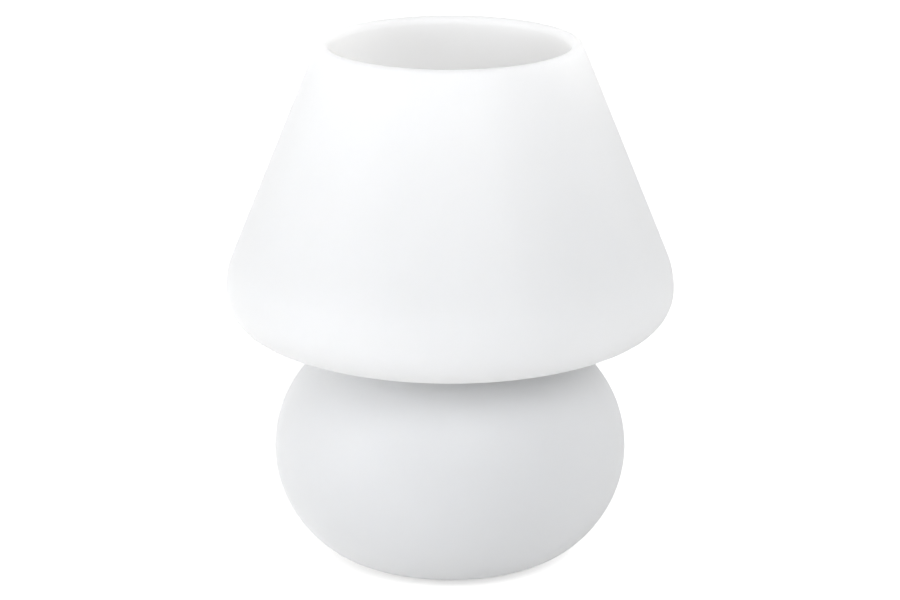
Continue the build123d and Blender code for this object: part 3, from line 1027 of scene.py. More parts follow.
@dataclass(frozen=True)
class ClearGlass(Finish):
    """Thin blown glass of the bulb, with faint waves from the blowing."""

    roughness: float = 0.02
    clearest: float = 0.105
    edge_alpha: float = 0.75

    def shade(self, shading: Shading) -> None:
        """Fill in the tree: a clear shell that shows mostly its reflections.

        Args:
            shading: The tree to fill.
        """
        grain = shading.use(Grained(), Fine_Scale=160.0, Drift_Scale=40.0)
        shading.spread(grain.outputs["Drift"], self.roughness, self.roughness + 0.05, "Roughness")
        shading.raise_by(grain.outputs["Height"], 0.0004, 0.06)
        facing = preset(shading.node("LayerWeight"), Blend=0.35).outputs["Facing"]
        shading.spread(facing, self.clearest, self.edge_alpha, "Alpha", 0.0, 1.0)
        preset(shading.shader, Base_Color=(*self.colour, 1), IOR=1.5, Specular_IOR_Level=0.8)


@dataclass(frozen=True)
class Metal(Finish):
    """Bare or plated metal with the marks of its making and a little tarnish."""

    tarnish: tuple[float, float, float]
    roughness: float = 0.3
    grain: Grain = Grain.TURNED
    tarnish_amount: float = 0.35

    def shade(self, shading: Shading) -> None:
        """Fill in the tree: tool marks in the bump and roughness, tarnish in the colour.

        Args:
            shading: The tree to fill.
        """
        stretch = (1.0, 0.04, 1.0) if self.grain is Grain.ROLLED else (0.15, 0.15, 1.0)
        marks = shading.use(ToolMarks(), Stretch=stretch)
        drift = shading.use(Grained(), Fine_Scale=1500.0, Drift_Scale=120.0).outputs["Drift"]
        aged = shading.patches(drift, 0.45, 0.8, self.tarnish_amount)
        skin = shading.tint(aged, self.colour, self.tarnish)
        shading.wire(skin, shading.shader.inputs["Base Color"])
        streak = marks.outputs["Streak"]
        shading.spread(streak, self.roughness - 0.08, self.roughness + 0.12, "Roughness")
        height = marks.outputs["Height"] if self.grain is Grain.TURNED else streak
        shading.raise_by(height, 0.00003, 0.3)
        preset(shading.shader, Metallic=1.0)


@dataclass(frozen=True)
class SoftRubber(Finish):
    """Silicone, vinyl or gasket rubber: soft sheen, fine grain, a little lint."""

    roughness: float
    lint: tuple[float, float, float]
    depth: float = 0.15

    def shade(self, shading: Shading) -> None:
        """Fill in the tree: grain, patches of lint and a trace of light under the skin.

        Args:
            shading: The tree to fill.
        """
        grain = shading.use(Grained(), Fine_Scale=3000.0, Drift_Scale=180.0)
        drift = grain.outputs["Drift"]
        specks = shading.patches(drift, 0.5, 0.85, 0.4)
        skin = shading.tint(specks, self.colour, self.lint)
        shading.wire(skin, shading.shader.inputs["Base Color"])
        shading.spread(drift, self.roughness - 0.08, self.roughness + 0.1, "Roughness")
        shading.raise_by(grain.outputs["Height"], 0.00004, 0.3)
        preset(shading.shader, Subsurface_Weight=self.depth, Subsurface_Scale=0.001)


OPAL = OpalGlass("satin_opal_glass", "opal_glass", (0.93, 0.93, 0.925))
CLEAR = ClearGlass("clear_bulb_glass", "clear_glass", (0.97, 0.98, 0.98))
BLACK_GLASS = Moulding("black_insulator_glass", "black_glass", (0.02, 0.02, 0.025), 0.12, 0.6, 0.1)
RING = SoftRubber("soft_silicone", "soft_ring", (0.82, 0.82, 0.80), 0.5, (0.72, 0.71, 0.69), 0.4)
BUSH = SoftRubber("white_vinyl", "soft_bush", (0.90, 0.90, 0.88), 0.45, (0.8, 0.79, 0.76))
GASKET = SoftRubber("gasket_rubber", "gasket", (0.035, 0.035, 0.035), 0.7, (0.2, 0.19, 0.18), 0.0)
ZINC = Metal("zinc_plate", "zinc_steel", (0.68, 0.70, 0.72), (0.5, 0.5, 0.48), 0.34, Grain.ROLLED)
WHITE = DustySkin("white_powder_coat", "white_steel", (0.88, 0.88, 0.86))
BRASS = Metal("turned_brass", "brass", (0.80, 0.60, 0.28), (0.45, 0.3, 0.14), 0.26)
NICKEL = Metal("nickel_plate", "nickel", (0.76, 0.73, 0.68), (0.5, 0.45, 0.38), 0.24)
SPRING = Metal("spring_wire", "spring_steel", (0.50, 0.50, 0.50), (0.3, 0.28, 0.26), 0.3)
HOLDER = Moulding("white_thermoset", "moulding", (0.90, 0.90, 0.88))
STEATITE = Moulding("unglazed_steatite", "steatite", (0.86, 0.82, 0.74), 0.62, 0.9, 0.5)
SOLDER = Metal("lead_free_solder", "solder", (0.68, 0.68, 0.69), (0.42, 0.42, 0.43), 0.38)
FILAMENT = SoftRubber("filament_coating", "filament_coating", (0.90, 0.62, 0.10), 0.5, (0.95, 0.75, 0.3))
LEAD = Metal("lead_wire_metal", "lead_wire", (0.62, 0.60, 0.56), (0.4, 0.36, 0.3), 0.28)
BOARD = DustySkin("white_board_coat", "circuit_board", (0.84, 0.87, 0.82), 0.35)
CHIPS = Moulding("black_chip_moulding", "circuit_board", (0.04, 0.04, 0.045), 0.5, 0.8, 0.3)

DRESSED: dict[str, Finish] = {
    "glass_body": OPAL,
    "foot_ring": RING,
    "cord_grommet": BUSH,
    "base_plate": WHITE,
    "lower_gasket": GASKET,
    "upper_gasket": GASKET,
    "clamp_plate": ZINC,
    "clamp_screws": ZINC,
    "spring_washers": ZINC,
    "clamp_nuts": ZINC,
    "holder_bracket": ZINC,
    "threaded_nipple": BRASS,
    "nipple_nut": BRASS,
    "lock_washer": ZINC,
    "holder_base": HOLDER,
    "grub_screw": ZINC,
    "holder_shell": HOLDER,
    "contact_carrier": STEATITE,
    "thread_sleeve": NICKEL,
    "side_contact": BRASS,
    "centre_terminal": BRASS,
    "centre_contact": BRASS,
    "contact_spring": SPRING,
    "terminal_blocks": BRASS,
    "terminal_screws": ZINC,
    "bulb_cap": NICKEL,
    "bulb_insulator": BLACK_GLASS,
    "bulb_tip": SOLDER,
    "bulb_globe": CLEAR,
    "bulb_stem": CLEAR,
    "filament_wires": LEAD,
    "led_filaments": FILAMENT,
    "driver_board": BOARD,
}


# ------------------------------------------------------------------ the glass


@dataclass
class GlassBody:
    """The shade, waist and base in one piece, drawn as arcs that run into each other."""

    overall_height: float = 189.2
    shade_radius: float = 80.0
    rim_radius: float = 46.9
    base_radius: float = 63.5
    wall: float = 4.4
    belly_radius: float = 29.2
    shoulder_radius: float = 13.9
    shoulder_turn: float = 61.5
    underside_radius: float = 31.7
    underside_rise: float = 15.0
    waist_radius: float = 5.0
    waist_turn: float = 61.0
    side_radius: float = 42.5
    side_turn: float = 49.6
    lower_radius: float = 27.0
    foot_height: float = 1.5
    foot_width: float = 5.5
    foot_edge: float = 1.2
    recess_depth: float = 8.0
    recess_draft: float = 1.5
    recess_corner: float = 2.0
    recess_turn: float = 79.0
    foot_lean: float = 0.1
    foot_bevel: float = 0.35
    inner_bend: tuple[tuple[float, float], ...] = ((0.55, 0.22), (0.2, 0.04), (-0.3, 0.0))
    hole_radius: float = 13.0
    inlet_drop: float = 25.0
    inlet_radius: float = 5.7
    steps: int = 240
    centres: dict[str, Vector] = field(default_factory=dict)

    def __post_init__(self) -> None:
        """Work out each arc's centre from its neighbour's."""
        side = Vector((
            self.base_radius - self.side_radius,
            self.foot_height + self.lower_radius
            + (self.side_radius - self.lower_radius) * math.sin(math.radians(self.side_turn)),
        ))
        waist = side + spoke(self.side_radius + self.waist_radius, self.waist_turn)
        start = waist + spoke(self.waist_radius, 90 - self.underside_rise)
        inward = self.underside_radius - self.shoulder_radius
        under_x = (
            self.shade_radius - self.shoulder_radius
            - inward * math.cos(math.radians(self.shoulder_turn))
        )
        rise = math.radians(self.underside_rise)
        run = under_x - self.underside_radius * math.sin(rise) - start.x
        under_z = start.y - run * math.tan(rise) + self.underside_radius * math.cos(rise)
        under = Vector((under_x, under_z))
        shoulder = under + spoke(inward, -self.shoulder_turn)
        belly = Vector((self.shade_radius - self.belly_radius, shoulder.y))
        lip = Vector((self.rim_radius - self.wall / 2, self.overall_height - self.wall / 2))
        reach = lip - belly
        self.lean = math.degrees(
            math.atan2(reach.y, reach.x)
            - math.acos((self.belly_radius - self.wall / 2) / reach.length)
        )
        self.centres = {
            "side": side,
            "lower": side + spoke(self.side_radius - self.lower_radius, -self.side_turn),
            "waist": waist, "under": under, "shoulder": shoulder, "belly": belly, "lip": lip,
        }

    def point(self, centre: str, radius: float, angle: float) -> tuple[float, float]:
        """Place on an arc.

        Args:
            centre: Name of the arc's centre.
            radius: Distance from it.
            angle: Angle in degrees.

        Returns:
            Radius and height of the place.
        """
        place = self.centres[centre] + spoke(radius, angle)
        return place.x, place.y

    def skin(self, pen: Outline, inset: float, down: bool) -> None:
        """Draw the skin from foot to lip, or back down on the inside.

        Args:
            pen: Outline to draw with.
            inset: How far inside the outer skin the line runs.
            down: Whether the line runs from the lip to the foot.
        """
        at = {key: tuple(value) for key, value in self.centres.items()}
        runs = [
            ("lower", 90 - self.side_turn, 14),
            ("side", self.side_turn + self.waist_turn, 44),
            ("waist", -90 - self.underside_rise - self.waist_turn, 16),
            ("under", 90 + self.underside_rise - self.shoulder_turn, 14),
            ("shoulder", self.shoulder_turn, 16),
            ("belly", self.lean, 12),
        ]
        under = self.point("under", self.underside_radius - inset, -90 - self.underside_rise)
        waist = self.point("waist", self.waist_radius + inset, 90 - self.underside_rise)
        if down:
            pen.line(self.point("belly", self.belly_radius - inset, self.lean))
            for name, turn, count in reversed(runs):
                pen.arc(at[name], -turn, count)
                if name == "under":
                    pen.line(waist)
            return
        for name, turn, count in runs:
            if name == "under":
                pen.line(under)
            pen.arc(at[name], turn, count)
        pen.line(self.point("lip", self.wall / 2, self.lean))

    def foot(self, pen: Outline) -> None:
        """Draw the foot's inside, its recess and the clamped disc, and close the outline.

        Args:
            pen: Outline that stands at the inner skin's lower end.
        """
        inner = self.centres["lower"].x - self.foot_width
        recess = inner - self.recess_draft
        ceiling = self.foot_height + self.recess_depth
        seat = ceiling + self.wall
        bend = self.recess_corner + self.wall
        for across, down in self.inner_bend:
            pen.line((recess + self.wall + bend * across, seat - bend * down))
        corner = recess - self.recess_corner
        pen.line((self.hole_radius, seat), (self.hole_radius, ceiling), (corner, ceiling))
        pen.arc((corner, ceiling - self.recess_corner), -self.recess_turn, 6)
        pen.line((inner - self.foot_lean, self.foot_height + self.foot_edge))
        pen.line((inner + self.foot_bevel, self.foot_height + self.foot_bevel))
        pen.line((inner + self.foot_edge, self.foot_height)).close()

    def build(self) -> None:
        """Spin the outline and cut the cord's hole."""
        low = self.centres["lower"]
        pen = Outline(low.x, low.y - self.lower_radius)
        self.skin(pen, 0, down=False)
        pen.arc(tuple(self.centres["lip"]), 180, 12)
        self.skin(pen, self.wall, down=True)
        self.foot(pen)
        glass = carved(pen.spun(self.steps), self.drill())
        finished(glass, "opal_glass", Body.LAMP, OPAL, "glass_body", sharp=50)

    def along_inlet(self) -> Matrix:
        """Work out where the cord's hole runs.

        Returns:
            Matrix that turns the Z axis into the hole's and starts it at the centre of the
            arc that draws the base's side.
        """
        side = self.centres["side"]
        turn = Matrix.Rotation(-math.radians(90 + self.inlet_drop), 4, "X")
        return Matrix.Translation((0, side.x, side.y)) @ turn

    def drill(self) -> bmesh.types.BMesh:
        """Make the tool that cuts the cord's hole through the back of the base.

        Returns:
            A bar on the hole's axis, longer than the glass is thick.
        """
        middle = self.side_radius - self.wall / 2
        hole = rod(self.inlet_radius, middle - self.wall * 1.5, middle + self.wall * 1.5, 64)
        return moved(hole, self.along_inlet())


# ------------------------------------------------------------------ foot and clamp


@dataclass
class FootClamp:
    """The soft ring under the glass, and the screws that clamp the glass between two plates."""

    ring_inner: float = 26.75
    ring_outer: float = 30.45
    ring_edge: float = 0.35
    groove_width: float = 0.5
    groove_depth: float = 0.3
    thread: Thread = Thread(2.0, 0.43, 0.7)
    screw_offset: float = 8.0
    head: tuple[float, float, float] = (4.0, 2.6, 1.3)
    slot: tuple[float, float] = (1.0, 1.2)
    slot_angles: tuple[float, float] = (24.0, -51.0)
    flats: float = 7.0
    washer_inner: float = 2.2
    washer_outer: float = 3.8
    washer_gap: float = 0.035
    washer_set: float = 0.12
    washer_edge: float = 0.12
    steps: int = 192

    def at_screws(self, *made: bmesh.types.BMesh) -> bmesh.types.BMesh:
        """Stand two meshes at the places of the two screws.

        Args:
            made: A mesh for the left screw and one for the right, both on the axis.

        Returns:
            A mesh that holds them both.
        """
        places = zip((-self.screw_offset, self.screw_offset), made)
        return joined(*(shifted(mesh, across, 0, 0) for across, mesh in places))

    def ring(self) -> None:
        """Mould the foot ring, with two fine grooves in its face."""
        low, high = heights("foot_ring")
        inner, outer, edge = self.ring_inner, self.ring_outer, self.ring_edge
        pen = Outline((inner + outer) / 2, low)
        pen.path((outer, low, edge), (outer, high, edge), (inner, high, edge), (inner, low, edge))
        grooves = []
        half, depth = self.groove_width / 2, self.groove_depth
        for share in (1, 2):
            middle = inner + (outer - inner) * share / 3
            groove = Outline(middle - half, low - depth).line((middle + half, low - depth))
            groove.line((middle + half, low + depth / 2), (middle, low + depth))
            groove.line((middle - half, low + depth / 2)).close()
            grooves.append(groove.spun(self.steps))
        mesh = carved(pen.close().spun(self.steps), *grooves)
        finished(mesh, "foot_ring_moulded", Body.LAMP, RING, "foot_ring")

    def screws(self) -> None:
        """Cut the two slotted pan-head screws."""
        bearing, high = heights("base_plate")[0], heights("clamp_screws")[1]
        made = [
            self.thread.screw(bearing, high, (*self.slot, angle), self.head)
            for angle in self.slot_angles
        ]
        finished(self.at_screws(*made), "clamp_screws_cut", Body.LAMP, ZINC, "clamp_screws")

    def washer(self) -> bmesh.types.BMesh:
        """Coil a split spring washer on the axis.

        Returns:
            The washer.
        """
        low, high = heights("spring_washers")
        top = high - self.washer_set
        inner, outer, edge = self.washer_inner, self.washer_outer, self.washer_edge
        pen = Outline((inner + outer) / 2, low)
        pen.path((outer, low, edge), (outer, top, edge), (inner, top, edge), (inner, low, edge))
        return swept(pen.close().mesh, (1 - self.washer_gap, self.washer_set), per_turn=64)

    def nut(self) -> bmesh.types.BMesh:
        """Cut a hexagon nut on the axis, and return it."""
        return self.thread.nut(*heights("clamp_nuts"), self.flats)

    def build(self) -> None:
        """Make the ring, screws, washers and nuts."""
        self.ring()
        self.screws()
        washers = self.at_screws(self.washer(), self.washer())
        finished(washers, "spring_washers_split", Body.LAMP, ZINC, "spring_washers")
        nuts = self.at_screws(self.nut(), self.nut())
        finished(nuts, "clamp_nuts_cut", Body.LAMP, ZINC, "clamp_nuts", sharp=NUT_SHARP)


@dataclass
class CordInlet:
    """Soft bush in the back of the base, with a flange on each side of the glass."""

    bore_radius: float = 3.3
    hub_radius: float = 5.5
    flange_radius: float = 7.4
    flange_edge: float = 0.6
    bore_edge: float = 0.5
    seat_edge: float = 0.2
    inner_face: float = 35.474
    inner_seat: float = 37.274
    outer_seat: float = 42.6
    outer_face: float = 44.4
    seat_lean: float = 0.35

    def build(self, glass: GlassBody) -> None:
        """Mould the bush round the inlet's axis.

        Args:
            glass: The glass that it sits in.
        """
        bore, hub, flange = self.bore_radius, self.hub_radius, self.flange_radius
        edge = self.seat_edge
        pen = Outline(bore, (self.inner_face + self.outer_face) / 2)
        pen.path(
            (bore, self.inner_face, self.bore_edge), (flange, self.inner_face, self.flange_edge),
            (flange, self.inner_seat, edge), (hub, self.inner_seat, edge),
            (hub, self.outer_seat, edge), (flange, self.outer_seat - self.seat_lean, edge),
            (flange, self.outer_face, self.flange_edge), (bore, self.outer_face, self.bore_edge),
        )
        bush = moved(pen.close().spun(96), glass.along_inlet())
        finished(bush, "cord_bush", Body.LAMP, BUSH, "cord_grommet")


# ------------------------------------------------------------------ nipple and lampholder


@dataclass
class HolderMount:
    """The threaded nipple through the bracket, its nut and its toothed washer."""

    thread: Thread = Thread(5.0, 0.5, 1.0)
    bore_radius: float = 3.8
    bore_bevel: float = 0.2
    clearance: float = 0.05
    flats: float = 14.0
    washer_radius: float = 8.0
    washer_root: float = 6.8
    tooth_count: int = 12
    gap_width: float = 1.4
    plate: float = 0.5
    tooth_bevel: float = 0.1
    tooth_twist: float = 3.0

    def nipple(self) -> None:
        """Cut the hollow nipple, threaded from end to end."""
        low, high = heights("threaded_nipple")
        crest, depth = self.thread.crest, self.thread.depth
        bore, bevel = self.bore_radius, self.bore_bevel
        pen = Outline(crest - depth, low).line((crest, low + depth))
        pen.rows(crest, high - depth, self.thread.pitch / self.thread.steps)
        pen.line((crest - depth, high), (bore + bevel, high), (bore, high - bevel))
        pen.line((bore, low + bevel), (bore + bevel, low)).close()
        mesh = pen.spun(96)
        walls = (crest - depth, crest + depth)
        self.thread.press(mesh, low + depth / 2, high - depth / 2, walls)
        finished(mesh, "nipple_threaded", Body.LAMP, BRASS, "threaded_nipple")

    def nut(self) -> None:
        """Cut the nipple's hexagon nut."""
        mesh = self.thread.nut(*heights("nipple_nut"), self.flats)
        finished(mesh, "nipple_nut_cut", Body.LAMP, BRASS, "nipple_nut", sharp=NUT_SHARP)

    def washer(self) -> None:
        """Stamp the washer, cut its gaps and twist its teeth."""
        low, high = heights("lock_washer")
        middle = (low + high) / 2
        inner, outer = self.thread.crest + self.clearance, self.washer_radius
        under, over = middle - self.plate / 2, middle + self.plate / 2
        bevel = self.tooth_bevel
        pen = Outline(inner, under).rows(self.washer_root, under, 0.5)
        pen.rows(outer - bevel, under, 0.3).line((outer, under + bevel), (outer, over - bevel))
        pen.line((outer - bevel, over)).rows(self.washer_root, over, 0.3)
        pen.rows(inner, over, 0.5).close()
        step = FULL_TURN / self.tooth_count
        reach = self.washer_radius - self.washer_root
        cuts = []
        for index in range(self.tooth_count):
            cut = block((reach * 2, self.gap_width, 2), (self.washer_radius, 0, middle))
            cuts.append(moved(cut, Matrix.Rotation(index * step, 4, "Z")))
        mesh = carved(pen.spun(96), joined(*cuts))
        twist = (high - low - self.plate) / 2
        for vert in mesh.verts:
            out = (vert.co.xy.length - self.washer_root) / reach
            if out <= 0:
                continue
            across = (math.atan2(vert.co.y, vert.co.x) / step) % 1 - 0.5
            vert.co.z += twist * out * max(-1, min(1, across * self.tooth_twist))
        finished(mesh, "lock_washer_toothed", Body.LAMP, ZINC, "lock_washer")

    def build(self) -> None:
        """Make the nipple, its nut and its washer."""
        self.nipple()
        self.nut()
        self.washer()


@dataclass
class Lampholder:
    """Screw lampholder: domed base, shell, rolled sleeve and sprung centre contact."""

    radius: float = 13.8
    wall: float = 1.5
    boss_radius: float = 9.6
    boss_height: float = 6.0
    dome_height: float = 7.0
    dome_bend: float = 2.0
    spigot_clearance: float = 0.15
    spigot_height: float = 5.0
    nipple_radius: float = 5.05
    rib_count: int = 12
    rib_radius: float = 0.7
    rib_margin: float = 1.0
    edge: float = 0.3
    small_edge: float = 0.2
    clearance: float = 0.05
    groove_rises: tuple[float, float] = (2.0, 3.2)
    groove_width: float = 0.5
    groove_depth: float = 0.3
    grub: Thread = Thread(1.5, 0.3, 0.5)
    grub_reach: float = 9.5
    grub_length: float = 4.4
    grub_slot: tuple[float, float, float] = (0.5, 1.0, 8.0)
    mouth_radius: float = 9.4
    mouth_depth: float = 6.5
    shell_edge: float = 1.2
    step_radius: float = 10.7
    flange_height: float = 8.2
    sleeve: Thread = Thread(7.05, 0.8, 2.822, rolled=True, steps=12)
    sleeve_wall: float = 0.4
    sleeve_flange: float = 9.45
    nose_radius: float = 2.5
    nose_bend: float = 1.3
    collar_radius: float = 3.4
    collar_height: float = 1.5
    spring_wire: float = 0.3
    spring_reach: float = 2.9
    spring_turns: float = 6.0
    closed_rise: float = 2.1
    terminal: Thread = Thread(1.2, 0.25, 0.45)
    terminal_reach: float = 9.5
    terminal_length: float = 2.3
    terminal_rise: float = 3.2
    terminal_slot: tuple[float, float] = (0.45, 0.7)
    terminal_angles: tuple[float, float] = (70.0, 15.0)

    def base(self) -> None:
        """Mould the domed base, with its grip ribs and the grub screw's hole."""
        low, top = heights("holder_base")
        dome, joint = low + self.boss_height, top - self.spigot_height
        full = dome + self.dome_height
        spigot = self.radius - self.wall - self.spigot_clearance
        hollow = spigot - self.wall
        rib_low, rib_high = full + self.rib_margin, joint - self.rib_margin
        pen = Outline(self.nipple_radius, low)
        pen.path(
            (self.boss_radius, low, 0.5), (self.boss_radius, dome, self.dome_bend),
            (self.radius, full, self.dome_bend), (self.radius, rib_low - self.small_edge),
            (self.radius, rib_low),
        )
        pen.rows(self.radius, rib_high, 1.5).line((self.radius, rib_high + self.small_edge))
        pen.path(
            (self.radius, joint, self.edge), (spigot, joint, 0.1), (spigot, top, self.edge),
            (hollow, top, self.edge), (hollow, full, 1.0),
            (self.boss_radius - self.wall, dome + self.wall, 0.6),
            (self.nipple_radius, dome + self.wall),
        )
        mesh = pen.close().spun(240)
        self.raise_ribs(mesh, rib_low, rib_high)
        grub_z = low + self.boss_height / 2
        hole = rod(self.grub.crest + self.clearance, 0, self.radius, 32)
        out = Matrix.Translation((0, 0, grub_z)) @ Matrix.Rotation(math.pi / 2, 4, "X")
        hole = moved(shifted(hole, 0, 0, self.nipple_radius / 2), out)
        finished(carved(mesh, hole), "holder_base_moulded", Body.LAMP, HOLDER, "holder_base")
        grub = self.grub.screw(-self.grub_reach, self.grub_length - self.grub_reach, self.grub_slot)
        turned = Matrix.Translation((0, 0, grub_z)) @ Matrix.Rotation(-math.pi / 2, 4, "X")
        finished(moved(grub, turned), "grub_screw_cut", Body.LAMP, ZINC, "grub_screw")

    def raise_ribs(self, mesh: bmesh.types.BMesh, low: float, high: float) -> None:
        """Push the grip ribs out of the base's wall.

        Args:
            mesh: The base.
            low: Height of the ribs' lower end.
            high: Height of their upper end.
        """
        spacing = FULL_TURN / self.rib_count
        for vert in mesh.verts:
            reach, height = vert.co.xy.length, vert.co.z
            if reach < self.radius - WELD or not low - WELD < height < high + WELD:
                continue
            turn = (math.atan2(vert.co.y, vert.co.x) + spacing / 2) % spacing - spacing / 2
            rise = self.rib_radius ** 2 - (turn * reach) ** 2
            if rise > 0:
                vert.co.xy *= 1 + math.sqrt(rise) / reach

    def shell(self) -> None:
        """Mould the outer shell round the sleeve."""
        low, high = heights("holder_shell")
        outer, inner, mouth = self.radius, self.radius - self.wall, self.mouth_radius
        step, edge, small = self.step_radius, self.edge, self.small_edge
        flange, under = low + self.flange_height, high - self.mouth_depth
        pen = Outline(inner, low + self.flange_height / 2)
        pen.path((inner, low, small), (outer, low, edge), (outer, low + self.groove_rises[0] / 2))
        for rise in self.groove_rises:
            groove = low + rise
            pen.path((outer, groove, 0.1), (outer - self.groove_depth, groove + self.groove_width / 2))
            pen.line((outer, groove + self.groove_width))
        pen.path(
            (outer, high, self.shell_edge), (mouth, high, self.shell_edge / 2), (mouth, under, edge),
            (step, under, small), (step, flange, small), (inner, flange, small),
        )
        finished(pen.close().spun(160), "holder_shell_moulded", Body.LAMP, HOLDER, "holder_shell")

    def threaded_sleeve(self) -> None:
        """Roll the thread into the metal sleeve that the bulb screws into."""
        low, high = heights("thread_sleeve")
        wall, flange = self.sleeve_wall, self.sleeve_flange
        inner, outer, start = self.sleeve.crest, self.sleeve.crest + wall, low + wall * 2
        step = self.sleeve.pitch / self.sleeve.steps
        pen = Outline(inner, low)
        pen.path(
            (flange, low, 0.15), (flange, low + wall, 0.15), (outer, low + wall, self.edge),
            (outer, start),
        )
        pen.rows(outer, high, step).line((inner, high)).rows(inner, low, step)
        mesh = pen.spun(144)
        self.sleeve.press(mesh, start, high, (inner - wall / 4, outer + wall / 4), female=True)
        finished(mesh, "thread_sleeve_rolled", Body.LAMP, NICKEL, "thread_sleeve", sharp=ROLLED_SHARP)

    def plunger(self) -> None:
        """Turn the centre contact, with its collar and rounded nose."""
        low, high = heights("centre_contact")
        collar = low + self.collar_height
        pen = Outline(0, low).path(
            (self.collar_radius, low, 0.2), (self.collar_radius, collar, 0.3),
            (self.nose_radius, collar), (self.nose_radius, high, self.nose_bend), (0, high), chords=8,
        )
        finished(pen.spun(72), "plunger_turned", Body.CONTACT, BRASS, "centre_contact")

    def spring(self) -> None:
        """Coil the spring under the centre contact, with a closed turn at each end."""
        low, high = heights("contact_spring")
        wire = self.spring_wire
        rise = high - low - wire * 2
        closed = wire * self.closed_rise
        section = ring(wire, self.spring_reach, low + wire)
        coil = swept(section, (1, closed), (self.spring_turns, rise - closed * 2), (1, closed))
        finished(coil, "contact_spring_coiled", Body.LAMP, SPRING, "contact_spring")

    def terminals(self) -> None:
        """Cut the two terminal screws."""
        level = heights("terminal_blocks")[0] + self.terminal_rise
        reach = self.terminal_reach
        made = []
        for side, angle in zip((-1, 1), self.terminal_angles):
            slot = (*self.terminal_slot, angle)
            screw = self.terminal.screw(-reach, self.terminal_length - reach, slot)
            turn = Matrix.Rotation(-side * math.pi / 2, 4, "Y")
            made.append(moved(screw, Matrix.Translation((0, 0, level)) @ turn))
        finished(joined(*made), "terminal_screws_cut", Body.LAMP, ZINC, "terminal_screws")

    def build(self) -> None:
        """Make every piece of the holder that the frame leaves plain."""
        self.base()
        self.shell()
        self.threaded_sleeve()
        self.plunger()
        self.spring()
        self.terminals()


# ------------------------------------------------------------------ the bulb


